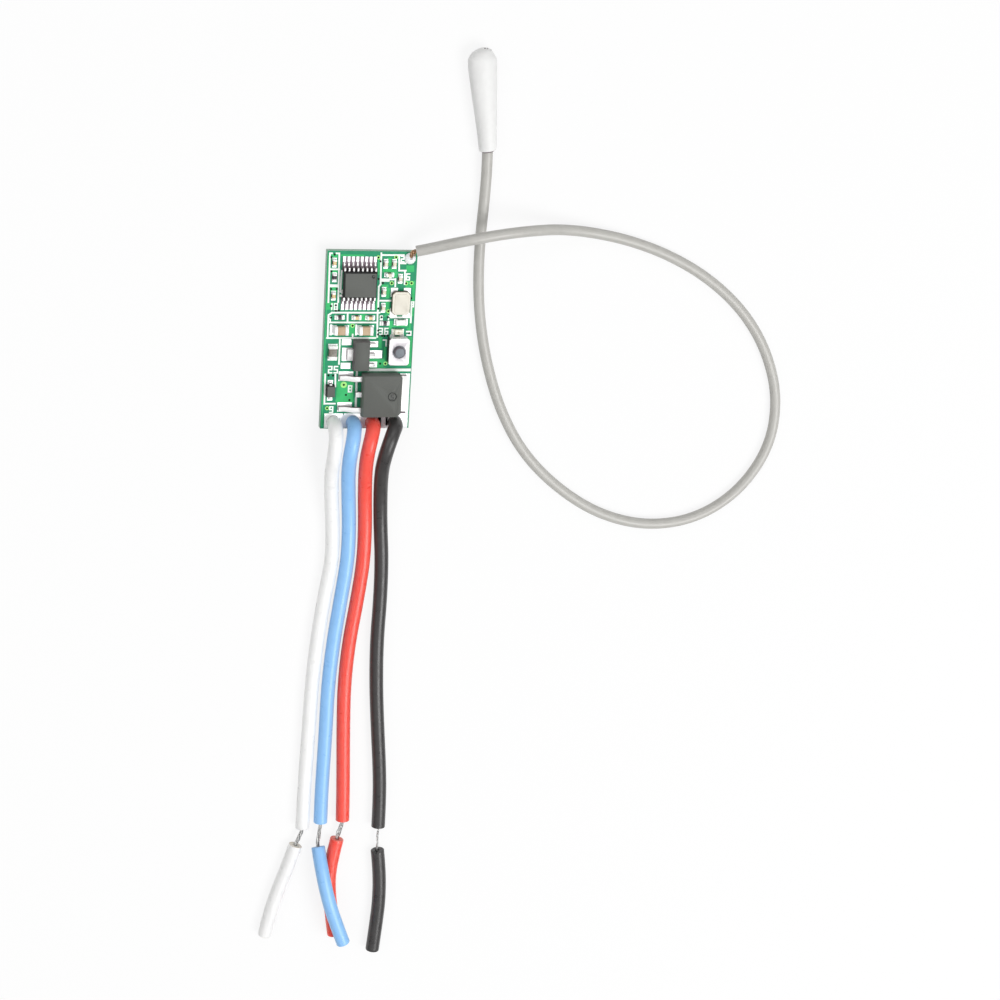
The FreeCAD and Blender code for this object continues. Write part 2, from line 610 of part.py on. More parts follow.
def make_power_mosfet():
    """Power transistor: a wide tab, two bent leads and the middle one's stub in a thick moulded block."""
    edge = "sizes.mosfet_length / 2"
    leads = []
    for name, shift in (("gate", "sizes.mosfet_pitch"), ("source", "-sizes.mosfet_pitch")):
        lead = gull_wing(f"mosfet_{name}", "XZ_Plane", "sizes.mosfet_lead_inside", edge,
                         "sizes.mosfet_shoulder", "sizes.mosfet_foot", f"{edge} + sizes.mosfet_reach",
                         "sizes.mosfet_lead_height", "sizes.mosfet_lead_thickness", "sizes.mosfet_lead_width")
        turned = mirrored(f"mosfet_{name}_lead", lead, Vector(1, 0, 0))
        leads.append(place(turned, "sizes.mosfet_x", f"sizes.mosfet_y + {shift}", SEAT))
        toe_x = f"sizes.mosfet_x - ({edge} + sizes.mosfet_reach + sizes.pad_margin)"
        add_pad(f"mosfet_{name}", "sizes.mosfet_pad_length", "sizes.mosfet_pad_width",
                f"{toe_x} + sizes.mosfet_pad_length / 2",
                f"sizes.mosfet_y + {shift} + sizes.mosfet_pad_shift")
    tab_length = "(sizes.mosfet_tab_inside + sizes.mosfet_tab_reach)"
    tab_x = f"sizes.mosfet_x + {edge} + sizes.mosfet_tab_reach - {tab_length} / 2"
    tab = block("mosfet_tab", tab_length, "sizes.mosfet_tab_width", "sizes.mosfet_lead_thickness",
                tab_x, "sizes.mosfet_y", SEAT)
    tab_end = f"(sizes.mosfet_x + {edge} - sizes.mosfet_tab_inside)"
    riser = block("mosfet_riser", "sizes.mosfet_lead_thickness", "sizes.mosfet_lead_width",
                  "sizes.mosfet_lead_height + sizes.mosfet_lead_thickness",
                  f"{tab_end} + sizes.mosfet_lead_thickness / 2", "sizes.mosfet_y", SEAT)
    stub_start = f"(sizes.mosfet_x - {edge} - sizes.mosfet_shoulder)"
    stub_length = f"({tab_end} + sizes.mosfet_lead_thickness - {stub_start})"
    stub = block("mosfet_stub", stub_length, "sizes.mosfet_lead_width", "sizes.mosfet_lead_thickness",
                 f"{stub_start} + {stub_length} / 2", "sizes.mosfet_y", f"{SEAT} + sizes.mosfet_lead_height")
    drain = fuse("mosfet_drain", [tab, riser, stub])
    frame = group("mosfet_frame", leads + [drain])
    keep(frame, "power_mosfet_lead_frame")
    die = block("mosfet_die", "sizes.mosfet_die_side", "sizes.mosfet_die_side", "sizes.die_thickness",
                "sizes.mosfet_x + sizes.mosfet_die_x", "sizes.mosfet_y",
                f"{SEAT} + sizes.mosfet_lead_thickness")
    keep(die, "power_mosfet_die")

    body = new_body("mosfet_block")
    half_x, half_y = "sizes.mosfet_length / 2", "sizes.mosfet_width / 2"
    corner, near_corner = "sizes.mosfet_corner", "sizes.mosfet_near_corner"
    outline = [
        (f"-{half_x}", f"-{half_y}"), (f"{half_x} - {near_corner}", f"-{half_y}"),
        (half_x, f"-({half_y} - {near_corner})"), (half_x, f"{half_y} - {corner}"),
        (f"{half_x} - {corner}", half_y), (f"-{half_x}", half_y),
    ]
    pad_up(body, "mosfet_upper_half", outline, "sizes.mosfet_height - sizes.mosfet_parting",
           "sizes.mosfet_parting", "sizes.mosfet_draft")
    pad_up(body, "mosfet_lower_half", outline, "sizes.mosfet_parting", "sizes.mosfet_parting",
           "sizes.mosfet_draft", down=True)
    pocket_circles(body, "ejector_mark", [("sizes.mosfet_mark_x", "0", "sizes.mosfet_mark / 2")],
                   "sizes.mosfet_mark_depth", "sizes.mosfet_height")
    place(body, "sizes.mosfet_x", "sizes.mosfet_y", SEAT)
    moulded("power_mosfet_body", body, [frame, die])
    add_pad("mosfet_tab", "sizes.mosfet_tab_reach + sizes.tab_pad_reach", "sizes.tab_pad_length",
            f"sizes.mosfet_x + {edge} + (sizes.mosfet_tab_reach + sizes.tab_pad_reach) / 2",
            "sizes.mosfet_y + sizes.tab_pad_offset")


def make_regulator():
    """Voltage regulator: a heat tab that runs on as the middle lead, two short leads, a moulded block."""
    edge = "sizes.regulator_width / 2"
    thick = "sizes.regulator_lead_thickness"
    tab = block("regulator_tab", "sizes.regulator_tab_reach + sizes.regulator_tab_inside",
                "sizes.regulator_tab_width", thick,
                f"sizes.regulator_x - {edge} + (sizes.regulator_tab_inside - sizes.regulator_tab_reach) / 2",
                "sizes.regulator_y", SEAT)
    middle_length = "(sizes.regulator_width / 2 + sizes.regulator_lead_reach)"
    middle = block("regulator_middle", middle_length, "sizes.regulator_lead_width", thick,
                   f"sizes.regulator_x + {middle_length} / 2", "sizes.regulator_y", SEAT)
    parts = [fuse("regulator_ground", [tab, middle])]
    side_length = "(sizes.regulator_lead_inside + sizes.regulator_lead_reach)"
    side_x = f"sizes.regulator_x + {edge} + sizes.regulator_lead_reach - {side_length} / 2"
    pad_start = f"sizes.regulator_x + {edge} + sizes.regulator_pad_start"
    for name, shift in (("input", "sizes.regulator_pitch"), ("output", "-sizes.regulator_pitch")):
        parts.append(block(f"regulator_{name}", side_length, "sizes.regulator_lead_width", thick, side_x,
                           f"sizes.regulator_y + {shift}", SEAT))
        pad_length = "(sizes.regulator_side_pad_reach - sizes.regulator_pad_start)"
        add_pad(f"regulator_{name}", pad_length, "sizes.regulator_side_pad_width",
                f"{pad_start} + {pad_length} / 2", f"sizes.regulator_y + {shift}")
    pad_length = "(sizes.regulator_middle_pad_reach - sizes.regulator_pad_start)"
    add_pad("regulator_middle", pad_length, "sizes.regulator_middle_pad_width",
            f"{pad_start} + {pad_length} / 2", "sizes.regulator_y")
    add_pad("regulator_tab", "sizes.regulator_tab_pad_length",
            "sizes.regulator_tab_width + 2 * sizes.pad_margin",
            f"sizes.regulator_x - {edge} - sizes.regulator_tab_pad_length / 2 + sizes.pad_margin",
            "sizes.regulator_y")
    for name in ("far", "near"):
        add_pad(f"regulator_open_{name}", "sizes.regulator_open_pad_length", "sizes.regulator_open_pad_width",
                "sizes.regulator_open_pad_x", f"sizes.regulator_open_pad_{name}_y")
    frame = group("regulator_frame", parts)
    keep(frame, "regulator_lead_frame")
    die = block("regulator_die_block", "sizes.regulator_die_side", "sizes.regulator_die_side",
                "sizes.die_thickness", "sizes.regulator_x", "sizes.regulator_y", f"{SEAT} + {thick}")
    keep(die, "regulator_die")
    body = new_body("regulator_block")
    pad_up(body, "regulator_mould", rectangle("sizes.regulator_width", "sizes.regulator_length"),
           "sizes.regulator_height", "0", "sizes.regulator_draft")
    place(body, "sizes.regulator_x", "sizes.regulator_y", SEAT)
    moulded("regulator_body", body, [frame, die])


def make_diode():
    """Small two-lead diode in a moulded block."""
    edge = "sizes.diode_length / 2"
    toe = f"{edge} + sizes.diode_reach"
    far = gull_wing("diode_lead", "YZ_Plane", "sizes.diode_lead_inside", edge, "sizes.diode_shoulder",
                    "sizes.diode_foot", toe, "sizes.diode_lead_height", "sizes.diode_lead_thickness",
                    "sizes.diode_lead_width")
    near = mirrored("diode_other_lead", far, Vector(0, 1, 0))
    frame = group("diode_leads", [far, near])
    place(frame, "sizes.diode_x", "sizes.diode_y", SEAT)
    keep(frame, "diode_terminals")
    body = new_body("diode_block")
    pad_up(body, "diode_mould", rectangle("sizes.diode_width", "sizes.diode_length"), "sizes.diode_height",
           "0", "sizes.diode_draft")
    place(body, "sizes.diode_x", "sizes.diode_y", SEAT)
    moulded("diode_body", body, [frame])
    for name, sign in (("far", "+"), ("near", "-")):
        add_pad(f"diode_{name}", "sizes.diode_pad_width", "sizes.diode_pad_length",
                "sizes.diode_x", f"sizes.diode_y {sign} ({toe} - sizes.diode_foot / 2)")


def make_crystal():
    """Quartz crystal: a ceramic tray on four corner terminals, the blank inside and a metal lid."""
    length, width = "sizes.crystal_length", "sizes.crystal_width"
    base_level = f"{SEAT} + sizes.terminal_film"
    corners = []
    for i, (sx, sy) in enumerate(((-1, -1), (1, -1), (1, 1), (-1, 1))):
        x = f"sizes.crystal_x + {sx} * ({width} - sizes.crystal_terminal_width) / 2"
        y = f"sizes.crystal_y + {sy} * ({length} - sizes.crystal_terminal_length) / 2"
        corners.append(block(f"crystal_terminal_{i}", "sizes.crystal_terminal_width",
                             "sizes.crystal_terminal_length", "sizes.terminal_film", x, y, SEAT))
        add_pad(f"crystal_{i}", "sizes.crystal_terminal_width + 2 * sizes.pad_margin",
                "sizes.crystal_terminal_length + sizes.crystal_pad_reach", x,
                f"{y} + {sy} * sizes.crystal_pad_reach / 2")
    keep(group("crystal_terminal_set", corners), "crystal_terminals")

    base = new_body("crystal_tray")
    corner = "sizes.crystal_corner"
    pad_up(base, "crystal_tray_block", rectangle(width, length, corner), "sizes.crystal_base_height")
    sketch = sketch_on(base, "XY_Plane", "crystal_hollow_outline", "sizes.crystal_base_height")
    add_outline(sketch, rectangle(f"{width} - 2 * sizes.crystal_rim", f"{length} - 2 * sizes.crystal_rim"))
    doc.recompute()
    hollow = base.newObject("PartDesign::Pocket", "crystal_hollow")
    hollow.Profile = sketch
    hollow.setExpression("Length", "sizes.crystal_base_height - sizes.crystal_floor")
    place(base, "sizes.crystal_x", "sizes.crystal_y", base_level)
    keep(base, "crystal_base")

    blank = block("quartz", f"{width} - 2 * sizes.crystal_rim - 2 * sizes.quartz_gap",
                  f"{length} - 2 * sizes.crystal_rim - 2 * sizes.quartz_gap", "sizes.quartz_thickness",
                  "sizes.crystal_x", "sizes.crystal_y", f"{base_level} + sizes.crystal_floor")
    keep(blank, "crystal_quartz_blank")

    lid = new_body("crystal_cover")
    lid_width = f"({width} - 2 * sizes.crystal_lid_inset)"
    lid_length = f"({length} - 2 * sizes.crystal_lid_inset)"
    pad_up(lid, "crystal_cover_plate", rectangle(lid_width, lid_length, corner), "sizes.crystal_lid_height")
    panel = rectangle(f"{lid_width} - 2 * sizes.crystal_lid_panel",
                      f"{lid_length} - 2 * sizes.crystal_lid_panel", "sizes.crystal_corner / 2")
    pad_up(lid, "crystal_cover_panel", panel, "sizes.crystal_panel_height", "sizes.crystal_lid_height")
    place(lid, "sizes.crystal_x", "sizes.crystal_y", f"{base_level} + sizes.crystal_base_height")
    keep(lid, "crystal_lid")


def make_switch():
    """Pairing switch: moulded housing, snap dome, plunger and a folded metal cover that holds them."""
    top = "sizes.switch_height - sizes.cover_thickness"
    guide = "(sizes.plunger_flange / 2 + sizes.plunger_guide_gap)"
    housing = new_body("switch_tub")
    tub_width = "(sizes.switch_width - 2 * sizes.housing_side_gap)"
    tub_length = "(sizes.switch_length - 2 * sizes.cover_thickness)"
    pad_up(housing, "switch_tub_block", rectangle(tub_width, tub_length), top)
    pocket_circles(housing, "switch_guide", [("0", "0", guide)], f"{top} - sizes.housing_floor", top)
    place(housing, "sizes.switch_x", "sizes.switch_y", SEAT)

    pins = []
    length = "(sizes.switch_pin_reach + sizes.switch_pin_inside)"
    pad_end = f"({tub_length} + sizes.switch_pin_reach + sizes.switch_pad_margin)"
    for i, (sx, sy) in enumerate(((-1, -1), (1, -1), (1, 1), (-1, 1))):
        x = f"sizes.switch_x + {sx} * sizes.switch_pin_pitch / 2"
        y = f"sizes.switch_y + {sy} * ({tub_length} / 2 + sizes.switch_pin_reach - {length} / 2)"
        pins.append(block(f"switch_pin_{i}", "sizes.switch_pin_width", length, "sizes.switch_pin_thickness",
                          x, y, SEAT))
        add_pad(f"switch_{i}", "sizes.switch_pin_width + 2 * sizes.switch_pad_margin",
                "sizes.switch_pin_reach + sizes.switch_pad_margin", x,
                f"sizes.switch_y + {sy} * {pad_end} / 2")
    pin_set = group("switch_pins", pins)
    keep(pin_set, "switch_terminals")
    moulded("switch_housing", housing, [pin_set])

    dome_top = "(sizes.housing_floor + sizes.dome_rise)"
    knee = "sizes.dome_radius * sizes.dome_knee"
    dome = turned_body("snap_dome", [
        ("0", f"{dome_top} - sizes.dome_sheet"), (knee, f"{dome_top} - sizes.dome_sheet * 2"),
        ("sizes.dome_radius - sizes.dome_sheet", "sizes.housing_floor"),
        ("sizes.dome_radius", "sizes.housing_floor"),
        (f"{knee} + sizes.dome_sheet", f"{dome_top} - sizes.dome_sheet"), ("0", dome_top),
    ])
    place(dome, "sizes.switch_x", "sizes.switch_y", SEAT)
    keep(dome, "switch_snap_dome")

    flange_top = f"({top} - sizes.plunger_stop_gap)"
    flange_bottom = f"({flange_top} - sizes.plunger_flange_height)"
    nub_bottom = f"({dome_top} + sizes.dome_gap)"
    plunger_end = "(sizes.switch_height + sizes.plunger_top)"
    plunger = turned_body("switch_button", [
        ("0", nub_bottom), ("sizes.plunger_nub / 2", nub_bottom), ("sizes.plunger_nub / 2", flange_bottom),
        ("sizes.plunger_flange / 2", flange_bottom), ("sizes.plunger_flange / 2", flange_top),
        ("sizes.plunger_stem / 2", flange_top),
        ("sizes.plunger_stem / 2", f"{plunger_end} - sizes.plunger_edge"),
        ("sizes.plunger_stem / 2 - sizes.plunger_edge", plunger_end), ("0", plunger_end),
    ])
    place(plunger, "sizes.switch_x", "sizes.switch_y", SEAT)
    keep(plunger, "switch_plunger")

    cover = new_body("switch_shield")
    outline = rectangle("sizes.switch_width", "sizes.switch_length", "sizes.cover_corner")
    pad_up(cover, "cover_plate", outline, "sizes.cover_thickness", top)
    end = "sizes.switch_length / 2"
    half = "(sizes.switch_width / 2 - sizes.cover_corner)"
    for name, sign in (("near", "-"), ("far", "")):
        outer, inner = f"{sign}({end})", f"{sign}({end} - sizes.cover_thickness)"
        points = [(f"-{half}", outer), (f"-{half}", inner), (half, inner), (half, outer)]
        pad_up(cover, f"cover_{name}_end", points, "sizes.cover_skirt", top, down=True)
    pocket_circles(cover, "cover_opening", [("0", "0", "sizes.cover_hole / 2")], "sizes.cover_thickness",
                   "sizes.switch_height")
    place(cover, "sizes.switch_x", "sizes.switch_y", SEAT)
    keep(cover, "switch_cover")


def make_led():
    """Surface-mount light: carrier plate, end terminals, die and a clear moulding over it."""
    x, y = "sizes.led_x", "sizes.led_y"
    film = "sizes.led_terminal_film"
    plate = block("led_plate", f"sizes.led_length - 2 * {film}", "sizes.led_width", "sizes.led_base_height",
                  x, y, f"{SEAT} + {film}")
    keep(plate, "led_carrier")
    ends = []
    for name, sign in (("left", "-"), ("right", "+")):
        end = block(f"led_{name}_end", "sizes.led_terminal_length", "sizes.led_width",
                    f"sizes.led_base_height + {film}",
                    f"{x} {sign} (sizes.led_length - sizes.led_terminal_length) / 2", y, SEAT)
        ends.append(cut(f"led_{name}_terminal", end, plate))
        add_pad(f"led_{name}", "sizes.led_terminal_length + 2 * sizes.pad_margin", "sizes.led_width",
                f"{x} {sign} (sizes.led_length - sizes.led_terminal_length) / 2", y)
    keep(group("led_ends", ends), "led_terminals")
    deck = f"{SEAT} + {film} + sizes.led_base_height"
    die = block("led_chip", "sizes.led_die_side", "sizes.led_die_side", "sizes.led_die_height", x, y, deck)
    keep(die, "led_die")
    lens = new_body("led_moulding")
    pad_up(lens, "led_moulding_block", rectangle("sizes.led_lens_length", "sizes.led_width"),
           "sizes.led_lens_height", "0", "sizes.led_lens_draft")
    place(lens, x, y, deck)
    moulded("led_lens", lens, [die])


def make_chip(kind, letter, axis):
    """One chip part: a ceramic block and the two plated caps that wrap its ends."""
    size = CHIP_CLASS[kind]
    name = f"{kind}_{letter}"
    x, y = f"sizes.{name}_x", f"sizes.{name}_y"
    skin = "sizes.chip_plating"
    length, width, height = f"sizes.{size}_length", f"sizes.{size}_width", f"sizes.{kind}_height"
    cap = f"sizes.{size}_cap"

    def turned(along, across):
        return (across, along) if axis == "along" else (along, across)

    bare_length, bare_width = turned(f"{length} - 2 * {skin}", f"{width} - 2 * {skin}")
    ceramic = block(f"{name}_ceramic", bare_length, bare_width, f"{height} - 2 * {skin}", x, y,
                    f"{SEAT} + {skin}")
    caps = []
    for side, sign in (("first", "-"), ("second", "+")):
        shift = f"({length} - {cap}) / 2"
        cap_x = f"{x} {sign} {shift}" if axis == "across" else x
        cap_y = f"{y} {sign} {shift}" if axis == "along" else y
        shell = block(f"{name}_{side}_shell", *turned(cap, width), height, cap_x, cap_y, SEAT)
        caps.append(cut(f"{name}_{side}_cap", shell, ceramic))
        pad_shift = f"({length} - {cap}) / 2 + sizes.pad_margin"
        pad_x = f"{x} {sign} ({pad_shift})" if axis == "across" else x
        pad_y = f"{y} {sign} ({pad_shift})" if axis == "along" else y
        add_pad(f"{name}_{side}", *turned(f"{cap} + 2 * sizes.pad_margin", f"{width} + sizes.pad_margin"),
                pad_x, pad_y)
    return ceramic, caps


def make_chips():
    for kind in CHIP_CLASS:
        ceramics, caps = [], []
        for place_kind, letter, _, _, axis in CHIP_PLACES:
            if place_kind == kind:
                ceramic, ends = make_chip(kind, letter, axis)
                ceramics.append(ceramic)
                caps.extend(ends)
        keep(group(f"{kind}_ceramics", ceramics), f"{kind}_bodies")
        keep(group(f"{kind}_caps", caps), f"{kind}_terminals")
    for letter in ("a", "b"):
        add_pad(f"large_open_{letter}", f"sizes.large_open_pad_{letter}_length", "sizes.large_open_pad_width",
                f"sizes.large_open_pad_{letter}_x", f"sizes.large_capacitor_{letter}_y")


def make_lead_pads():
    """Tinned pads on the top face round the lead holes and the antenna hole."""
    bore = "sizes.lead_hole / 2 - sizes.eyelet_wall"
    for lead in LEADS:
        x = f"sizes.{lead}_lead_x"
        y = f"{LEAD_ROW} + (sizes.lead_pad_length - sizes.eyelet_flange) / 2"
        plate = block(f"{lead}_plate", "sizes.lead_pad_width", "sizes.lead_pad_length", "sizes.pad_thickness",
                      x, y, BOARD_TOP)
        hole = rod(f"{lead}_plate_hole", bore, "sizes.pad_thickness", x, LEAD_ROW, BOARD_TOP)
        pads.append(cut(f"{lead}_pad", plate, hole))
    shared = doc.getObject("black_plate")
    tab_pad = next(pad for pad in pads if pad.Name == "mosfet_tab_pad")
    pads[pads.index(tab_pad)] = cut("mosfet_tab_pad_cleared", tab_pad, shared)
    plate = rod("antenna_plate", "sizes.antenna_dome", "sizes.pad_thickness", ANTENNA_X,
                ANTENNA_Y, BOARD_TOP)
    hole = rod("antenna_plate_hole", bore, "sizes.pad_thickness", ANTENNA_X, ANTENNA_Y, BOARD_TOP)
    pads.append(cut("antenna_pad", plate, hole))


# Routes of the free wires, chosen by hand on the board as it is. Each lead has the points of its insulation,
# from the board to the cut end, then those of the end of insulation that was pulled off and hangs on its
# strands. A route moves with the hole that it starts from.
LEADS = ("white", "blue", "red", "black")
LEAD_ROUTES = {
    "white": [
        (-4.6, -12.1, 2.05), (-4.6, -12.1, 3.45), (-4.65, -12.8, 4.65), (-4.72, -14.1, 5.3),
        (-4.8, -16.1, 5.05), (-4.85, -19.0, 3.55), (-4.4, -23.3, 1.85), (-3.8, -28.4, 1.05),
        (-3.7, -33.6, 1.05), (-4.7, -39.6, 1.05), (-5.45, -46.2, 1.05), (-5.95, -53.2, 1.05),
        (-6.12, -60.4, 1.05), (-6.36, -67.2, 1.05), (-6.46, -72.2, 1.05), (-6.47, -76.45, 1.05),
    ],
    "blue": [
        (-1.75, -12.1, 2.05), (-1.75, -12.1, 3.45), (-2.0, -12.8, 4.65), (-2.25, -14.1, 5.3),
        (-2.5, -16.1, 5.05), (-2.4, -19.0, 3.55), (-1.85, -23.3, 1.85), (-1.38, -28.2, 1.05),
        (-1.35, -33.4, 1.05), (-2.13, -39.5, 1.05), (-2.95, -46.2, 1.05), (-3.47, -53.2, 1.05),
        (-3.52, -60.4, 1.05), (-3.67, -67.2, 1.05), (-3.74, -71.8, 1.05), (-3.71, -75.65, 1.05),
    ],
    "red": [
        (1.05, -12.1, 2.05), (1.05, -12.1, 3.45), (0.7, -12.8, 4.65), (0.28, -14.1, 5.3),
        (-0.02, -16.1, 5.05), (0.1, -19.0, 3.55), (0.56, -23.3, 1.85), (1.0, -28.2, 1.05),
        (1.03, -33.6, 1.05), (0.33, -39.8, 1.05), (-0.62, -46.6, 1.05), (-1.02, -53.2, 1.05),
        (-0.85, -60.2, 1.05), (-0.56, -67.0, 1.05), (-0.38, -71.8, 1.05), (-0.3, -75.5, 1.05),
    ],
    "black": [
        (4.4, -12.1, 2.05), (4.4, -12.1, 3.45), (3.75, -12.8, 4.65), (3.15, -14.1, 5.3),
        (2.65, -16.1, 5.05), (2.5, -19.0, 3.55), (2.88, -23.3, 1.85), (3.3, -28.2, 1.05),
        (3.75, -33.4, 1.05), (3.84, -39.4, 1.05), (3.63, -46.4, 1.05), (3.88, -53.6, 1.05),
        (4.45, -60.6, 1.05), (5.08, -67.4, 1.05), (5.34, -72.6, 1.05), (5.33, -76.9, 1.05),
    ],
}
END_ROUTES = {
    "white": [(-7.4, -79.3, 1.05), (-8.4, -82.6, 1.05), (-10.0, -87.2, 1.05), (-11.1, -91.1, 1.05),
              (-11.7, -94.4, 1.05)],
    "blue": [(-3.95, -79.7, 1.3), (-3.5, -83.1, 2.75), (-2.4, -87.9, 3.5), (-1.1, -91.8, 3.65),
             (0.2, -95.2, 3.7)],
    "red": [(-1.0, -78.6, 1.05), (-1.62, -81.6, 1.05), (-2.05, -85.5, 1.05), (-1.55, -90.2, 1.05),
            (-0.8, -94.95, 1.05)],
    "black": [(5.4, -80.9, 1.05), (5.92, -84.6, 1.05), (6.08, -89.6, 1.05), (5.75, -94.2, 1.05),
              (5.4, -98.1, 1.05)],
}
ANTENNA_ROUTE = [
    (6.1, 13.25, 2.95), (8.0, 13.75, 3.4), (10.4, 14.55, 4.3), (13.1, 15.4, 5.4), (17.8, 16.3, 5.4),
    (22.3, 16.65, 4.35), (27.0, 16.6, 2.5), (32.5, 15.95, 1.15), (38.6, 14.7, 0.78), (45.1, 12.45, 0.78),
    (51.5, 8.95, 0.78), (57.2, 4.1, 0.78), (61.4, -1.95, 0.78), (63.85, -9.2, 0.78), (63.4, -16.9, 0.78),
    (59.2, -23.8, 0.78), (52.7, -28.1, 0.78), (45.0, -29.2, 0.78), (37.3, -27.35, 0.78), (30.4, -23.2, 0.78),
    (24.5, -17.6, 0.78), (20.5, -10.9, 0.78), (17.9, -3.6, 0.78), (16.4, 3.4, 0.78), (15.85, 9.8, 0.78),
    (15.85, 15.6, 0.78), (16.1, 20.6, 0.86), (16.1, 25.2, 1.15), (15.85, 29.9, 1.35), (15.3, 34.2, 1.48),
    (14.85, 38.2, 1.5), (14.85, 41.6, 1.42),
]
ANTENNA_STRANDS = [(5.45, 12.0, 2.5), (5.52, 12.6, 2.8)]
SLEEVE_STATIONS = [
    # centre, half width, half height
    ((16.02, 27.25, 1.3), 1.25, 1.24),
    ((15.85, 28.6, 1.35), 1.34, 1.28),
    ((15.55, 31.0, 1.46), 1.5, 1.37),
    ((15.03, 34.5, 1.6), 1.79, 1.48),
    ((14.56, 37.9, 1.7), 2.02, 1.54),
    ((14.33, 40.2, 1.74), 2.12, 1.55),
    ((14.42, 41.1, 1.68), 1.62, 1.25),
    ((14.7, 41.9, 1.5), 0.7, 0.65),
]
SHORTEST_TURN = 1e-4


def rounded_edges(points):
    """Straight runs joined by tangent arcs. Returns the edges, the length along them at each point that is
    in line with its neighbours, and the radii of the arcs."""
    track = [Vector(*p) for p in points]
    corners = [0]
    for i in range(1, len(track) - 1):
        before, after = track[i] - track[i - 1], track[i + 1] - track[i]
        if before.getAngle(after) > SHORTEST_TURN:
            corners.append(i)
    corners.append(len(track) - 1)
    edges, marks, radii = [], {0: 0.0}, []
    here, travelled = track[0], 0.0
    for k in range(1, len(corners)):
        start, end = track[corners[k - 1]], track[corners[k]]
        run = end - start
        heading = Vector(run).normalize()
        last = k == len(corners) - 1
        if last:
            back = 0.0
        else:
            following = track[corners[k + 1]] - end
            shorter = min(run.Length, following.Length)
            back = 0.45 * shorter
        stop = end - heading * back
        for i in range(corners[k - 1] + 1, corners[k]):
            marks[i] = travelled + (track[i] - here).Length
        edges.append(Part.LineSegment(here, stop).toShape())
        travelled += (stop - here).Length
        here = stop
        if last:
            continue
        turn = run.getAngle(following)
        radius = back / math.tan(turn / 2)
        away = Vector(following).normalize()
        towards_centre = (away - heading).normalize()
        middle = end + towards_centre * (radius / math.cos(turn / 2) - radius)
        leave = end + away * back
        edges.append(Part.Arc(stop, middle, leave).toShape())
        travelled += radius * turn
        radii.append(radius)
        here = leave
    marks[len(track) - 1] = travelled
    return edges, marks, radii


def stretch(edges, start, end):
    """The part of a chain of edges between two lengths along it."""
    kept, travelled = [], 0.0
    for edge in edges:
        low, high = max(start - travelled, 0.0), min(end - travelled, edge.Length)
        if high - low > 1e-6:
            if low < 1e-9 and high > edge.Length - 1e-9:
                kept.append(edge)
            else:
                first, last = edge.getParameterByLength(low), edge.getParameterByLength(high)
                kept.append(edge.Curve.toShape(first, last))
        travelled += edge.Length
    return kept


def tube(edges, radius):
    """A round solid swept along a chain of edges."""
    path = Part.Wire(edges)
    first = edges[0]
    start = first.valueAt(first.FirstParameter)
    heading = first.tangentAt(first.FirstParameter)
    section = Part.Wire(Part.Circle(start, heading, radius).toShape())
    return path.makePipeShell([section], True, False)


def keep_shape(name, shape):
    solid = doc.addObject("Part::Feature", f"{name}_solid")
    solid.Shape = shape
    solid.Placement = FreeCAD.Placement()
    return keep(solid, name)


def report_tube(name, shape, edges, outer, inner=0.0):
    length = sum(edge.Length for edge in edges)
    expected = math.pi * (outer**2 - inner**2) * length
    print(f"{name}: length {length:.1f} mm, volume {shape.Volume:.2f} against {expected:.2f} mm3")


def with_hole(points, start, x, y):
    """Points of a route, moved as its first point is moved to the hole at x and y."""
    shift_x, shift_y = value(x) - start[0], value(y) - start[1]
    return [(px + shift_x, py + shift_y, pz) for px, py, pz in points]


def point_between(start, end, distance):
    """The point that lies a distance from start, on the line through start and end."""
    a, b = Vector(*start), Vector(*end)
    return tuple(a + (b - a).normalize() * distance)


def make_leads():
    """Four leads: insulation, the strands inside it and the pulled-off end that still hangs on them."""
    outer, core = named("lead_outer") / 2, named("lead_core") / 2
    bore = core + named("core_gap")
    stub = named("strip_stub")
    for lead in LEADS:
        start = LEAD_ROUTES[lead][0]
        route = with_hole(LEAD_ROUTES[lead], start, f"sizes.{lead}_lead_x", LEAD_ROW)
        end = with_hole(END_ROUTES[lead], start, f"sizes.{lead}_lead_x", LEAD_ROW)
        root = (route[0][0], route[0][1], named("core_end_height"))
        after_cut = point_between(route[-1], route[-2], -stub)
        before_end = point_between(end[0], end[1], -stub)
        edges, marks, radii = rounded_edges([root] + route + [after_cut, before_end] + end)
        print(f"{lead} lead: arc radii {', '.join(f'{r:.1f}' for r in radii)}")
        skin_start, skin_end = marks[1], marks[len(route)]
        end_start = marks[len(route) + 3]
        finish = marks[len(route) + len(end) + 2]
        skin = stretch(edges, skin_start, skin_end)
        sleeve = tube(skin, outer).cut(tube(skin, bore))
        report_tube(f"{lead} insulation", sleeve, skin, outer, bore)
        keep_shape(f"{lead}_lead_insulation", sleeve)
        strands = stretch(edges, 0.0, end_start + named("core_in_end"))
        wire = tube(strands, core)
        report_tube(f"{lead} strands", wire, strands, core)
        keep_shape(f"{lead}_lead_strands", wire)
        tail = stretch(edges, end_start, finish)
        pulled = tube(tail, outer).cut(tube(tail, bore))
        report_tube(f"{lead} pulled-off end", pulled, tail, outer, bore)
        keep_shape(f"{lead}_lead_cut_end", pulled)


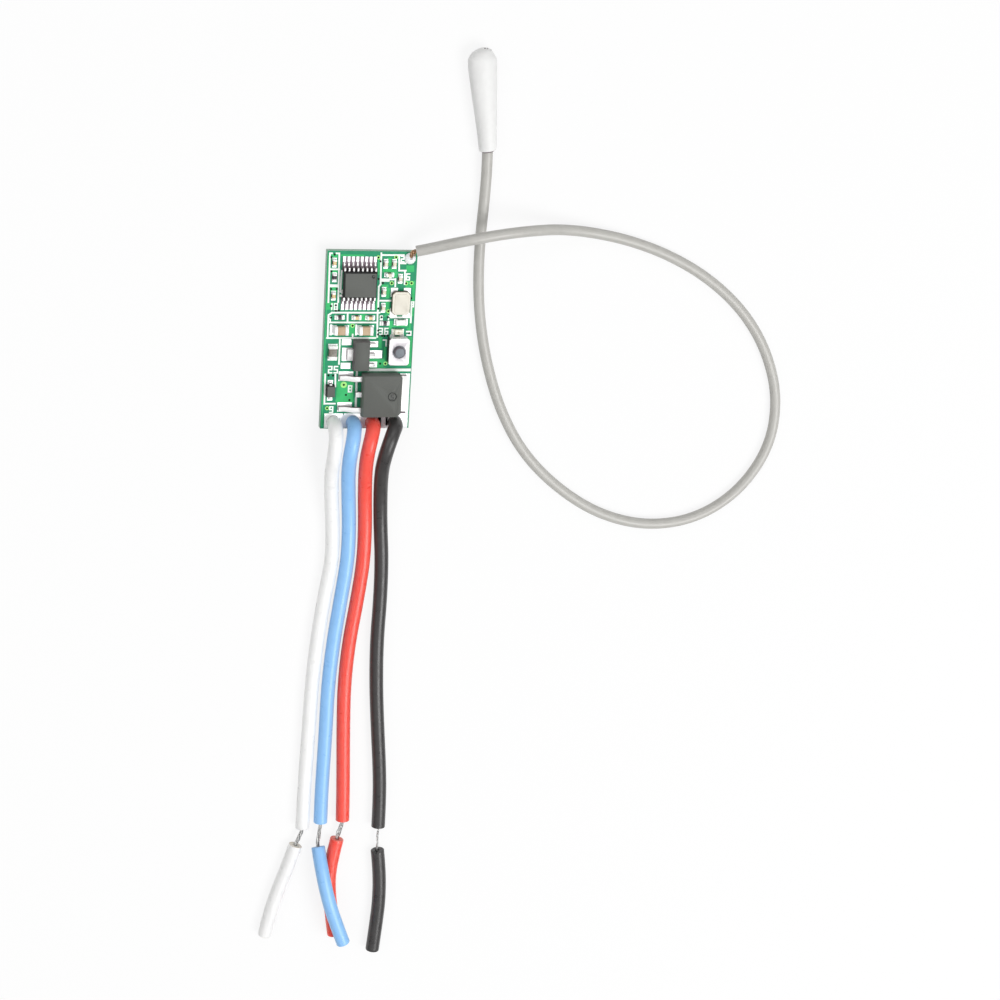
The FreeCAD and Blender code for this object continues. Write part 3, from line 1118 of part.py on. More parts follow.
def make_antenna():
    """Antenna wire with its strands bare at both ends, and the tapered sleeve shrunk over the far end."""
    outer, core = named("antenna_outer") / 2, named("antenna_core") / 2
    bore = core + named("core_gap")
    start = ANTENNA_STRANDS[0]
    strip = with_hole(ANTENNA_STRANDS, start, ANTENNA_X, ANTENNA_Y)
    route = with_hole(ANTENNA_ROUTE, start, ANTENNA_X, ANTENNA_Y)
    stations = [with_hole([centre], start, ANTENNA_X, ANTENNA_Y) + [half_width, half_height]
                for centre, half_width, half_height in SLEEVE_STATIONS]
    edges, marks, radii = rounded_edges(strip + [point_between(*route[:2], -named("antenna_stub"))] + route)
    print(f"antenna: arc radii {', '.join(f'{r:.1f}' for r in radii)}")
    first = len(strip) + 1
    skin_start, finish = marks[first], marks[first + len(route) - 1]
    skin = stretch(edges, skin_start, finish - named("antenna_strip"))
    insulation = tube(skin, outer).cut(tube(skin, bore))
    report_tube("antenna insulation", insulation, skin, outer, bore)
    keep_shape("antenna_insulation", insulation)
    wire = tube(edges, core)
    report_tube("antenna strands", wire, edges, core)
    strands = keep_shape("antenna_strands", wire)

    sections = []
    axis = Vector(*stations[-1][0]) - Vector(*stations[0][0])
    axis = Vector(axis.x, axis.y, 0).normalize()
    across = axis.cross(Vector(0, 0, 1))
    for centre, half_width, half_height in stations:
        ring = Part.Ellipse(Vector(*centre) + across * half_width,
                            Vector(*centre) + Vector(0, 0, half_height * 0.9999), Vector(*centre))
        sections.append(Part.Wire(ring.toShape()))
    sleeve = Part.makeLoft(sections, True, True)
    sleeve = sleeve.cut(tube(skin, outer)).cut(wire)
    keep_shape("antenna_end_sleeve", sleeve)
    return strands


def check_objects():
    """Stop on any object that failed to rebuild, and on any node that is empty or invalid."""
    failed = [o.Name for o in doc.Objects if {"Invalid", "Error"} & set(o.State)]
    if failed:
        raise RuntimeError(f"failed objects: {failed}")
    for name, solid in nodes:
        shape = solid.Shape
        if shape.isNull() or not shape.isValid() or not shape.Solids:
            raise RuntimeError(f"{name} has no valid shape")


def export_nodes():
    os.makedirs("parts", exist_ok=True)
    for name, solid in nodes:
        solid.Shape.exportStep(os.path.join("parts", f"{name}.step"))
    print(f"{len(nodes)} nodes written")


make_board()
make_eyelets()
make_lead_joints()
make_receiver_ic()
make_power_mosfet()
make_regulator()
make_diode()
make_crystal()
make_switch()
make_led()
make_chips()
make_lead_pads()
doc.recompute()
make_leads()
make_antenna_joint(make_antenna())
keep(group("tinned_pads", pads), "component_pads")
doc.recompute()
check_objects()
export_nodes()
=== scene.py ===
import math

import bpy
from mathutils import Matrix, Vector


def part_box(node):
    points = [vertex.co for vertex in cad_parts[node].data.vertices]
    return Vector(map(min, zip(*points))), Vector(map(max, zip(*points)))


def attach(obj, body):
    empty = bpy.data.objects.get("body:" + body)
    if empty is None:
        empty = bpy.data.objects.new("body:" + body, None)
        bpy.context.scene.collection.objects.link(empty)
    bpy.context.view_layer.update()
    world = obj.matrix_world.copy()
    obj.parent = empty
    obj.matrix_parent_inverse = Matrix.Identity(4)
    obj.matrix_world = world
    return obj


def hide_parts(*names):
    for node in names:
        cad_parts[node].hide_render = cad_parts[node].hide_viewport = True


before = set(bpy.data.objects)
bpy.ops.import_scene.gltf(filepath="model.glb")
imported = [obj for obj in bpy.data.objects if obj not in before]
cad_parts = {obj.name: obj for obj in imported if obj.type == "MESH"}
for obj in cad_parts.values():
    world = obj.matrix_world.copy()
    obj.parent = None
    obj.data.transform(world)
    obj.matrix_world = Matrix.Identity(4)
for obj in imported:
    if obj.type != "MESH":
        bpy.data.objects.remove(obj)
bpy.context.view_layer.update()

# The board
# A 13 by 26 mm piece of glass-fibre laminate, copper clad and coated green on both faces. It is routed out
# of a larger panel, so its bare edges show the pale layers of the laminate.
MILLIMETRE = 0.001
BOARD_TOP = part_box("circuit_board")[1][2]
NOISE_DETAIL = 4.0
# How far a gloss drifts to each side, and the noise values between which it does
GLOSS_DRIFT = 0.07
NOISE_LOW = 0.3
NOISE_HIGH = 0.7
LAMINATE_SCALE = 1800
LAMINATE_WAVER = 1.5


def paint(red, green, blue):
    """A colour as the eye sees it, 0 to 255 a channel, in the linear values that a shader takes."""
    levels = []
    for level in (red, green, blue):
        share = level / 255
        levels.append(share / 12.92 if share <= 0.04045 else ((share + 0.055) / 1.055) ** 2.4)
    return (*levels, 1.0)


def mix_colours(material, share, first, second):
    """A node that goes from one colour to the other by a share; each colour is a value or an output."""
    mix = material.node_tree.nodes.new("ShaderNodeMix")
    mix.data_type = "RGBA"
    material.node_tree.links.new(share, mix.inputs[0])
    for place, colour in ((mix.inputs[6], first), (mix.inputs[7], second)):
        if isinstance(colour, tuple):
            place.default_value = colour
        else:
            material.node_tree.links.new(colour, place)
    return mix


def grained(name, colour, other, grain, roughness, metallic=0.0, bump=0.0, sheen=0.5):
    """A finish whose colour and gloss drift between two tones over a grain of that size in metres; its sheen
    is the share of light that its surface mirrors, 0.5 for a plain gloss."""
    material = bpy.data.materials.new(name)
    material.use_nodes = True
    nodes, links = material.node_tree.nodes, material.node_tree.links
    shader = nodes["Principled BSDF"]
    shader.inputs["Metallic"].default_value = metallic
    shader.inputs["Specular IOR Level"].default_value = sheen
    place = nodes.new("ShaderNodeTexCoord")
    noise = nodes.new("ShaderNodeTexNoise")
    noise.name = "grain"
    noise.inputs["Scale"].default_value = 1 / grain
    noise.inputs["Detail"].default_value = NOISE_DETAIL
    links.new(place.outputs["Object"], noise.inputs["Vector"])
    tone = mix_colours(material, noise.outputs["Fac"], colour, other)
    tone.name = "tone"
    links.new(tone.outputs[2], shader.inputs["Base Color"])
    gloss = nodes.new("ShaderNodeMapRange")
    gloss.inputs["From Min"].default_value = NOISE_LOW
    gloss.inputs["From Max"].default_value = NOISE_HIGH
    gloss.inputs["To Min"].default_value = roughness - GLOSS_DRIFT
    gloss.inputs["To Max"].default_value = roughness + GLOSS_DRIFT
    links.new(noise.outputs["Fac"], gloss.inputs["Value"])
    links.new(gloss.outputs["Result"], shader.inputs["Roughness"])
    if bump:
        relief = nodes.new("ShaderNodeBump")
        relief.inputs["Strength"].default_value = 1.0
        relief.inputs["Distance"].default_value = bump
        links.new(noise.outputs["Fac"], relief.inputs["Height"])
        links.new(relief.outputs["Normal"], shader.inputs["Normal"])
    return material


def board_coat():
    """Green coat on the flat faces, and the layered edge of the laminate on the sides."""
    material = grained("board_coat", paint(34, 132, 92), paint(62, 158, 118), 0.0011, 0.4,
                       bump=0.000004, sheen=0.06)
    nodes, links = material.node_tree.nodes, material.node_tree.links
    place = nodes.new("ShaderNodeTexCoord")
    facing = nodes.new("ShaderNodeSeparateXYZ")
    links.new(place.outputs["Normal"], facing.inputs[0])
    flat = nodes.new("ShaderNodeMath")
    flat.operation = "ABSOLUTE"
    links.new(facing.outputs["Z"], flat.inputs[0])
    layers = nodes.new("ShaderNodeTexWave")
    layers.bands_direction = "Z"
    layers.inputs["Scale"].default_value = LAMINATE_SCALE
    layers.inputs["Distortion"].default_value = LAMINATE_WAVER
    links.new(place.outputs["Object"], layers.inputs["Vector"])
    laminate = mix_colours(material, layers.outputs["Fac"], paint(132, 166, 150), paint(176, 200, 180))
    surface = mix_colours(material, flat.outputs[0], laminate.outputs[2], nodes["tone"].outputs[2])
    links.new(surface.outputs[2], nodes["Principled BSDF"].inputs["Base Color"])
    return material


def finish_node(name, material):
    """Give a CAD node its finish."""
    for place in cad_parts[name].material_slots:
        place.material = material


finish_node("circuit_board", board_coat())

# Copper under the coat
# The copper areas and tracks stand a little proud under the coat and make it look brighter. Small plated
# through holes join them to the back, each with a bright ring of thin coat round its bore of painted shade.
COPPER_HEIGHT = 0.000012
LAND_HEIGHT = 0.000024
BORE_HEIGHT = 0.00003
LAND_RADIUS = 0.29
BORE_RADIUS = 0.16
DISC_SIDES = 24
# Strips and areas that are laid one after the other differ by this much in height, so that no two faces of a
# mesh share a plane where they overlap
LAYER_STEP = 0.0000002


def start_mesh(name):
    """An empty mesh object at the origin, open in edit mode."""
    bpy.ops.object.select_all(action="DESELECT")
    bpy.ops.mesh.primitive_plane_add(size=1)
    piece = bpy.context.object
    piece.name = name
    piece.data.name = name
    bpy.ops.object.mode_set(mode="EDIT")
    bpy.ops.mesh.select_all(action="SELECT")
    bpy.ops.mesh.delete(type="VERT")
    return piece


def lay_strip(start, end, width, level):
    """A flat strip between two points, run on at each end by half its width; points and width in
    millimetres."""
    first, last = Vector(start) * MILLIMETRE, Vector(end) * MILLIMETRE
    run = last - first
    middle = (first + last) / 2
    place = (middle.x, middle.y, level)
    width *= MILLIMETRE
    bpy.ops.mesh.primitive_plane_add(size=1, location=place)
    bpy.ops.transform.resize(value=(run.length + width, width, 1), center_override=place)
    bpy.ops.transform.rotate(value=-math.atan2(run.y, run.x), orient_axis="Z", center_override=place)


def lay_area(low, high, level):
    """A flat rectangle between two opposite corners given in millimetres."""
    middle = (Vector(low) + Vector(high)) / 2 * MILLIMETRE
    span = (Vector(high) - Vector(low)) * MILLIMETRE
    place = (middle.x, middle.y, level)
    bpy.ops.mesh.primitive_plane_add(size=1, location=place)
    bpy.ops.transform.resize(value=(span.x, span.y, 1), center_override=place)


def lay_disc(centre, radius, level, height):
    """A thin round disc standing on a level; centre and radius in millimetres."""
    place = Vector((*centre, 0)) * MILLIMETRE
    place.z = level + height / 2
    bpy.ops.mesh.primitive_cylinder_add(
        vertices=DISC_SIDES, radius=radius * MILLIMETRE, depth=height, location=place)


def thicken(piece, height):
    """Give a flat piece its thickness, upwards, and close it."""
    bpy.ops.object.mode_set(mode="OBJECT")
    sheet = piece.modifiers.new("thickness", "SOLIDIFY")
    sheet.thickness = height
    sheet.offset = 1.0
    bpy.ops.object.modifier_apply(modifier=sheet.name)


COPPER_AREAS = [
    ((-4.35, -9.1), (-1.85, -6.0)), ((0.15, -3.95), (2.35, -2.7)), ((4.95, 10.05), (6.1, 11.0)),
    ((5.0, 7.8), (6.35, 8.75)), ((6.0, 3.6), (6.35, 7.8)), ((-5.95, 11.9), (-5.0, 12.5)),
    ((-5.85, 9.7), (-4.95, 10.2)), ((-5.85, 7.1), (-4.85, 7.8)), ((-1.55, 2.95), (-0.45, 3.85)),
    ((-2.95, 0.75), (-2.1, 2.5)), ((1.5, -1.1), (1.95, 0.45)), ((1.55, 9.95), (3.6, 10.5)),
    ((2.2, 10.9), (2.9, 12.1)), ((3.1, 9.2), (3.8, 10.0)), ((1.5, 7.75), (2.5, 8.2)),
    ((2.2, 6.2), (2.75, 7.7)), ((2.2, 4.0), (2.8, 5.9)), ((0.85, 9.6), (1.15, 12.2)),
    ((0.8, 4.5), (1.1, 6.0)), ((2.8, 1.7), (3.3, 2.3)), ((2.8, 2.3), (3.4, 2.9)), ((5.75, 1.6), (6.05, 3.2)),
    ((-6.4, 4.5), (-5.3, 5.6)), ((-4.45, -1.0), (-3.95, -0.7)), ((3.2, 2.0), (5.6, 2.25)),
    ((5.75, -3.8), (6.35, 0.6)), ((2.3, -3.6), (2.6, -0.9)),
]
COPPER_TRACKS = [
    ((-4.5, 12.36), (-1.3, 12.37), 0.22), ((-6.32, 12.3), (-6.28, -12.6), 0.12),
    ((0.2, -3.95), (2.6, -3.95), 0.14), ((-4.3, -8.85), (-1.9, -8.85), 0.3), ((1.75, 0.3), (2.2, 0.9), 0.2),
    ((0.1, 0.55), (1.4, 0.5), 0.2), ((2.2, 3.6), (3.3, 4.4), 0.2), ((5.6, 1.8), (5.9, 1.4), 0.25),
]
RINGED_HOLES = [
    (0.84, 12.1), (3.4, 12.15), (2.95, 8.4), (5.05, 8.4), (5.83, 8.43), (-2.43, 2.19), (2.61, -3.37),
    (2.66, 4.32), (-5.6, -9.97), (-5.67, -11.0),
]
# The hole beside the diode has a wider ring
WIDE_RINGED_HOLE = (-3.32, -6.5)
WIDE_LAND_RADIUS = 0.46
PLAIN_HOLES = [
    (-5.45, 12.44), (-5.9, 12.08), (-5.82, 10.04), (-5.77, 7.5), (-4.92, 7.5), (1.17, 11.54), (1.05, 9.0),
    (1.67, 8.43), (5.89, 6.23), (-5.67, 5.04), (-4.98, 5.15), (-4.94, 4.35), (-4.52, 4.38), (-5.59, 3.35),
    (1.18, 4.7), (1.7, 3.44), (2.67, 3.45), (1.33, 1.49), (1.33, 0.92), (1.94, 0.72), (2.27, 0.72),
    (2.74, 0.76), (5.88, 1.1), (1.84, -3.37), (-5.61, -5.1), (-4.94, -5.12), (-2.94, -8.0), (-2.4, -8.77),
]

coated_copper = start_mesh("coated_copper")
for i, (low, high) in enumerate(COPPER_AREAS):
    lay_area(low, high, BOARD_TOP + i * LAYER_STEP)
for i, (start, end, width) in enumerate(COPPER_TRACKS):
    lay_strip(start, end, width, BOARD_TOP - (i + 1) * LAYER_STEP)
thicken(coated_copper, COPPER_HEIGHT)
bright_coat = grained("coat_over_copper", paint(48, 172, 98), paint(80, 198, 126), 0.0009, 0.4, sheen=0.06)
lands = start_mesh("through_hole_lands")
for centre in RINGED_HOLES:
    lay_disc(centre, LAND_RADIUS, BOARD_TOP, LAND_HEIGHT)
lay_disc(WIDE_RINGED_HOLE, WIDE_LAND_RADIUS, BOARD_TOP, LAND_HEIGHT)
bpy.ops.object.mode_set(mode="OBJECT")
thin_coat = grained("coat_over_land", paint(150, 226, 116), paint(186, 244, 150), 0.0003, 0.4, sheen=0.1)
# Dark discs over the holes: painted shade in the bores
bores = start_mesh("through_hole_bores")
for centre in RINGED_HOLES + PLAIN_HOLES + [WIDE_RINGED_HOLE]:
    lay_disc(centre, BORE_RADIUS, BOARD_TOP, BORE_HEIGHT)
bpy.ops.object.mode_set(mode="OBJECT")
painted_bore_shade = grained("painted_bore_shade", paint(8, 30, 19), paint(14, 42, 27), 0.0001, 0.5, sheen=0.1)
for piece, material in ((coated_copper, bright_coat), (lands, thin_coat), (bores, painted_bore_shade)):
    piece.data.materials.append(material)
    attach(piece, "module")

# Printed lines
# White ink, screened on the coat in outlines round the places of the parts, with a plain number at some of
# them. It lies a little proud of the coat.
INK_HEIGHT = 0.00002
INK_WIDTH = 0.24
DIGIT_STROKE = 0.2
# The gap between two digits, in widths of their strokes
DIGIT_GAP = 1.8
# The strokes that make up each digit, and the two ends of each stroke
DIGIT_SHAPES = {
    "0": "abcdef", "1": "bc", "2": "abged", "3": "abgcd", "4": "fgbc", "5": "afgcd", "6": "afgedc",
    "7": "abc", "8": "abcdefg", "9": "abcdfg",
}
STROKE_ENDS = {
    "a": ((0, 2), (1, 2)), "b": ((1, 2), (1, 1)), "c": ((1, 1), (1, 0)), "d": ((0, 0), (1, 0)),
    "e": ((0, 0), (0, 1)), "f": ((0, 1), (0, 2)), "g": ((0, 1), (1, 1)),
}


def lay_number(number, corner, height, stroke, level):
    """Plain digits in a row of straight strokes; the lower left corner, height and stroke in millimetres."""
    unit = height / 2
    for place, digit in enumerate(number):
        left = corner[0] + place * (unit + stroke * DIGIT_GAP)
        for i, name in enumerate(DIGIT_SHAPES[digit]):
            start, end = [(left + x * unit, corner[1] + y * unit) for x, y in STROKE_ENDS[name]]
            lay_strip(start, end, stroke, level + i * LAYER_STEP)


INK_LINES = [
    ((-6.13, 12.6), (-6.07, 5.6)), ((-4.8, 12.6), (-4.66, 5.6)), ((-6.13, 12.62), (-5.85, 12.62)),
    ((-5.2, 12.62), (-4.8, 12.62)), ((-6.1, 10.34), (-4.7, 10.34)), ((-6.05, 8.05), (-4.7, 8.05)),
    ((-6.05, 7.88), (-4.7, 7.88)), ((-4.36, 10.1), (-4.38, 7.4)), ((-4.0, 7.36), (-4.4, 7.1)),
    ((-4.4, 7.1), (-4.0, 6.84)), ((-5.5, 4.08), (1.4, 4.1)), ((-5.9, 2.65), (1.15, 2.67)),
    ((-3.22, 4.06), (-3.19, 2.7)), ((1.1, 4.3), (1.22, 0.55)), ((-5.5, 4.06), (-5.95, 3.75)),
    ((-5.98, 3.7), (-5.96, 0.4)), ((-6.05, 0.38), (0.95, 0.4)), ((-2.36, 0.9), (-2.36, 0.46)),
    ((1.24, 12.7), (1.33, 8.2)), ((1.3, 12.45), (4.5, 12.47)), ((3.82, 12.4), (3.92, 10.3)),
    ((3.9, 11.29), (4.8, 11.29)), ((3.92, 10.23), (4.9, 10.24)), ((4.78, 10.1), (4.82, 8.3)),
    ((1.42, 8.95), (3.4, 8.96)), ((1.42, 8.72), (2.5, 8.73)), ((3.46, 9.0), (3.48, 7.95)),
    ((1.33, 8.2), (1.1, 7.9)), ((1.1, 7.9), (1.16, 4.4)), ((1.4, 5.85), (3.0, 5.86)),
    ((3.1, 3.42), (6.0, 3.44)), ((5.98, 5.5), (6.02, 2.7)), ((-4.18, 0.2), (-4.16, -3.4)),
    ((-6.08, -4.95), (-6.03, -9.3)), ((-4.6, -5.0), (-4.55, -6.75)), ((-6.03, -9.28), (-4.5, -9.29)),
    ((5.5, 1.35), (6.1, 1.35)), ((5.6, 0.85), (6.1, 0.85)), ((6.1, 1.35), (6.1, 0.85)),
]
# The line behind the transistor and the one under its leads are thicker
WIDE_INK_LINES = [((0.25, -4.31), (6.2, -4.32), 0.4), ((-1.5, -4.5), (-1.43, -9.8), 0.3)]
# A square dot at the circuit's lower left corner
INK_DOT = ((-4.48, 6.38), (-4.16, 6.7))
# Each number, its lower left corner and its height
INK_NUMBERS = [
    ("18", (-5.95, 4.55), 0.82), ("4", (-6.0, 2.85), 0.62), ("36", (1.5, 0.95), 0.86),
    ("7", (2.15, -0.75), 0.84), ("25", (-5.62, -4.72), 0.92), ("9", (-5.2, -10.6), 0.84),
    ("8", (-2.6, -7.55), 0.9), ("2", (4.15, 11.5), 0.8), ("6", (5.05, 8.9), 0.86), ("3", (5.95, 5.0), 0.7),
    ("0", (2.62, 9.2), 0.4), ("5", (1.55, 3.1), 0.5), ("1", (2.5, 3.1), 0.5),
]

ink = start_mesh("printed_lines")
for i, (start, end) in enumerate(INK_LINES):
    lay_strip(start, end, INK_WIDTH, BOARD_TOP + i * LAYER_STEP)
for start, end, width in WIDE_INK_LINES:
    lay_strip(start, end, width, BOARD_TOP)
for number, corner, height in INK_NUMBERS:
    lay_number(number, corner, height, DIGIT_STROKE, BOARD_TOP)
lay_area(*INK_DOT, BOARD_TOP)
thicken(ink, INK_HEIGHT)
ink_white = grained("ink_white", paint(238, 246, 240), paint(250, 252, 248), 0.0001, 0.55)
ink.data.materials.append(ink_white)
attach(ink, "module")

# Moulded packages
# The circuit, power transistor, regulator and diode are moulded in black epoxy round their metal. Their
# tops are painted grey, a painted sheen of the bright ceiling on the etched epoxy. Their steep sides carry
# painted shade and light: near black on the circuit and the diode, greyer on the two larger ones.
MERGE_DISTANCE = 0.000001
FLAT_ANGLE = 1.0
SMOOTH_ANGLE = 35
# The upward parts of a face's direction below which it is steep and above which it is flat
STEEP_BELOW = 0.5
FLAT_ABOVE = 0.9


def pick(piece):
    """Make a piece the active one and the only one selected."""
    bpy.ops.object.select_all(action="DESELECT")
    piece.select_set(True)
    bpy.context.view_layer.objects.active = piece


def softened(node, name, material, edge, angle=30.0):
    """A copy of a CAD node with its sharp edges rounded, in place of the node."""
    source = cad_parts[node]
    piece = source.copy()
    piece.data = source.data.copy()
    piece.animation_data_clear()
    bpy.context.scene.collection.objects.link(piece)
    piece.parent = None
    piece.name = name
    piece.data.name = name
    pick(piece)
    bpy.ops.object.mode_set(mode="EDIT")
    bpy.ops.mesh.select_all(action="SELECT")
    bpy.ops.mesh.remove_doubles(threshold=MERGE_DISTANCE)
    bpy.ops.mesh.dissolve_limited(angle_limit=math.radians(FLAT_ANGLE))
    bpy.ops.object.mode_set(mode="OBJECT")
    rounding = piece.modifiers.new("rounding", "BEVEL")
    rounding.width = edge
    rounding.segments = 2
    rounding.limit_method = "ANGLE"
    rounding.angle_limit = math.radians(angle)
    rounding.harden_normals = True
    bpy.ops.object.modifier_apply(modifier=rounding.name)
    piece.data.materials.clear()
    piece.data.materials.append(material)
    bpy.ops.object.shade_smooth_by_angle(angle=math.radians(SMOOTH_ANGLE))
    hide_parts(node)
    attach(piece, "plunger" if node == "switch_plunger" else "module")


def paint_steep_light_and_shade(material, colour, other):
    """Give the steep faces of a finish two tones of painted light and shade of their own, blended in as they
    tilt.
    """
    nodes, links = material.node_tree.nodes, material.node_tree.links
    place = nodes.new("ShaderNodeTexCoord")
    facing = nodes.new("ShaderNodeSeparateXYZ")
    links.new(place.outputs["Normal"], facing.inputs[0])
    flat = nodes.new("ShaderNodeMapRange")
    flat.inputs["From Min"].default_value = STEEP_BELOW
    flat.inputs["From Max"].default_value = FLAT_ABOVE
    links.new(facing.outputs["Z"], flat.inputs["Value"])
    steep = mix_colours(material, nodes["grain"].outputs["Fac"], colour, other)
    surface = mix_colours(material, flat.outputs["Result"], steep.outputs[2], nodes["tone"].outputs[2])
    links.new(surface.outputs[2], nodes["Principled BSDF"].inputs["Base Color"])


TONE_SPREAD = 16
# Each package's name, the painted light and shade tone of its steep sides and the width of its rounded edges
MOULDINGS = [
    ("receiver_ic", (42, 41, 42), 0.00004), ("power_mosfet", (104, 108, 103), 0.00012),
    ("regulator", (106, 100, 102), 0.00005), ("diode", (44, 44, 44), 0.00004),
]
for package, (red, green, blue), edge in MOULDINGS:
    epoxy = grained(f"{package}_epoxy", paint(93, 95, 92), paint(106, 108, 104), 0.00006, 0.55, bump=0.000004,
                    sheen=0.1)
    # The steep tones are painted shade and light, and the grey of the tops a painted sheen
    paint_steep_light_and_shade(epoxy, paint(red, green, blue),
                paint(red + TONE_SPREAD, green + TONE_SPREAD, blue + TONE_SPREAD))
    softened(f"{package}_body", f"{package}_moulding", epoxy, edge)

# The mould leaves a round mark sunk into the tops of the transistor and the circuit, with a plain figure in
# the first. A dark ring in each is painted shade round the sunk mark.
MARK_DEPTH = 0.00008
FIGURE_HEIGHT = 0.000012
mosfet_mark_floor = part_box("power_mosfet_body")[1][2] - MARK_DEPTH
ic_mark_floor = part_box("receiver_ic_body")[1][2] - MARK_DEPTH
# Each ring's centre, radius and half thickness in millimetres, and its level
MARK_SHADE_RINGS = [((3.37, -7.7), 0.58, 0.06, mosfet_mark_floor), ((0.02, 9.65), 0.2, 0.075, ic_mark_floor)]
marks = start_mesh("ejector_mark_figures")
lay_number("5", (3.2, -8.05), 0.62, 0.13, mosfet_mark_floor)
thicken(marks, FIGURE_HEIGHT)
# The rings are painted shade round the sunk marks
mark_shade_ring = start_mesh("mould_mark_shade_rings")
for (x, y), radius, half_thickness, level in MARK_SHADE_RINGS:
    bpy.ops.mesh.primitive_torus_add(
        major_segments=32, minor_segments=8, major_radius=radius * MILLIMETRE,
        minor_radius=half_thickness * MILLIMETRE, location=(x * MILLIMETRE, y * MILLIMETRE, level),
    )
bpy.ops.object.mode_set(mode="OBJECT")
bpy.ops.object.shade_smooth()
dark_epoxy = grained("dark_epoxy", paint(24, 25, 24), paint(40, 41, 40), 0.0001, 0.45)
for piece in (marks, mark_shade_ring):
    piece.data.materials.append(dark_epoxy)
    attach(piece, "module")

# Metal that is soldered down
# Leads, tabs, pads, end caps and eyelets are copper or steel under dull tin, and the solder on them is
# bright. The bent leads' steep faces are painted shade. Brown flux and painted shade lie between the joints.
tin, bent_tin_painted_shade = [grained(name, paint(240, 239, 238), paint(251, 251, 250), 0.0002, 0.4, metallic=0.3)
                 for name in ("dull_tin", "bent_tin_painted_shade")]
# The steep faces of the bent leads are painted darker: painted shade
paint_steep_light_and_shade(bent_tin_painted_shade, paint(112, 96, 104), paint(156, 140, 146))
solder = grained("soft_solder", paint(242, 243, 243), paint(252, 252, 252), 0.0006, 0.34, metallic=0.3)
for node in ("component_pads", "lead_solder_joints"):
    finish_node(node, solder)
thin_solder = grained("thin_solder", paint(246, 248, 252), paint(252, 253, 255), 0.0003, 0.6, sheen=0.2)
finish_node("antenna_solder_joint", thin_solder)
for node in ("plated_hole_eyelets", "crystal_terminals", "switch_terminals", "led_terminals"):
    finish_node(node, tin)
for node, name, edge in (("receiver_ic_leads", "receiver_ic_lead_rows", 0.00002),
                         ("power_mosfet_lead_frame", "power_mosfet_leads", 0.00004),
                         ("regulator_lead_frame", "regulator_leads", 0.00003),
                         ("diode_terminals", "diode_leads", 0.00002)):
    softened(node, name, bent_tin_painted_shade, edge)

# Solder has run over the coat between the lead pads, along the board's end and beside the long pad
SOLDER_HEIGHT = 0.00005
SOLDER_RUNS = [
    ((1.85, -12.96), (3.36, -11.1)), ((-0.55, -12.96), (-0.2, -11.1)), ((-3.35, -12.96), (-2.9, -10.95)),
    ((3.0, -12.97), (6.3, -12.6)), ((6.0, -12.7), (6.3, -4.9)),
]
spill = start_mesh("solder_runs")
for i, (low, high) in enumerate(SOLDER_RUNS):
    lay_area(low, high, BOARD_TOP + i * LAYER_STEP)
thicken(spill, SOLDER_HEIGHT)
spill.data.materials.append(thin_solder)
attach(spill, "module")

FLUX_HEIGHT = 0.000016
# Brown flux round the chips and along the circuit's leads, darkened with painted shade beside them
FLUX_AND_SHADE_AREAS = [
    ((-4.3, 10.0), (0.62, 12.12)), ((-4.3, 4.62), (0.62, 6.7)), ((1.58, 10.65), (2.3, 11.75)),
    ((2.82, 10.65), (3.54, 11.75)), ((1.97, 9.24), (3.07, 9.96)), ((3.79, 8.5), (4.51, 9.62)),
    ((1.5, 6.6), (2.22, 7.68)), ((1.51, 4.28), (2.23, 5.36)), ((-5.82, 10.75), (-5.08, 11.85)),
    ((-5.76, 6.0), (-5.02, 7.1)), ((-5.73, 8.65), (-4.99, 9.75)), ((-2.47, 3.02), (-1.37, 3.74)),
    ((-0.5, 3.0), (0.6, 3.72)), ((-4.92, 3.03), (-3.82, 3.75)), ((1.64, 2.2), (2.74, 2.92)),
]
flux = start_mesh("flux_and_painted_shade")
for i, (low, high) in enumerate(FLUX_AND_SHADE_AREAS):
    lay_area(low, high, BOARD_TOP + i * LAYER_STEP)
thicken(flux, FLUX_HEIGHT)
flux.data.materials.append(grained("brown_flux_and_shade", paint(70, 62, 66), paint(104, 92, 96), 0.0004, 0.35))
# A film of it also bridges the pads of the circuit beside each lead, and laps their edges further out; its
# purple grey is partly painted shade between the leads
LEAD_PITCH = 0.635
OUTER_GAP = 4
FILM_HEIGHT = 0.000006
# Where the film beyond the outermost leads ends, from the middle of a gap
FILM_END = 0.08
# Each row's two ends along the board, and half the width that it leaves bare at a lead
FILM_ROWS = [(10.66, 11.5, 0.14), (11.5, 12.12, 0.18), (5.46, 6.04, 0.14), (4.6, 5.46, 0.18)]
# Painted shade: the dark line beyond the lower edge of the transistor's tab, between two pads at the board's
# end
TAB_SHADE_LINE = ((5.35, -10.64), (5.8, -10.64))
TAB_SHADE_WIDTH = 0.28


def middle_of(node):
    """The middle of a CAD node as seen from above, in millimetres."""
    low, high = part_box(node)
    return (Vector(low) + Vector(high)).xy / 2 / MILLIMETRE


circuit_x = middle_of("receiver_ic_body").x
pads_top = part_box("component_pads")[1][2]
film = start_mesh("flux_film_and_shade")
for low_y, high_y, bare in FILM_ROWS:
    for i in range(-OUTER_GAP, OUTER_GAP + 1):
        gap_x = circuit_x + i * LEAD_PITCH
        left = gap_x - LEAD_PITCH / 2 + bare if i > -OUTER_GAP else gap_x + FILM_END
        right = gap_x + LEAD_PITCH / 2 - bare if i < OUTER_GAP else gap_x - FILM_END
        lay_area((left, low_y), (right, high_y), pads_top)
thicken(film, FILM_HEIGHT)
film.data.materials.append(
    grained("flux_film_and_shade", paint(112, 96, 106), paint(140, 124, 134), 0.0003, 0.5, sheen=0.2))
tab_edge_shade = start_mesh("tab_edge_shade")
lay_strip(*TAB_SHADE_LINE, TAB_SHADE_WIDTH, pads_top)
thicken(tab_edge_shade, FILM_HEIGHT)
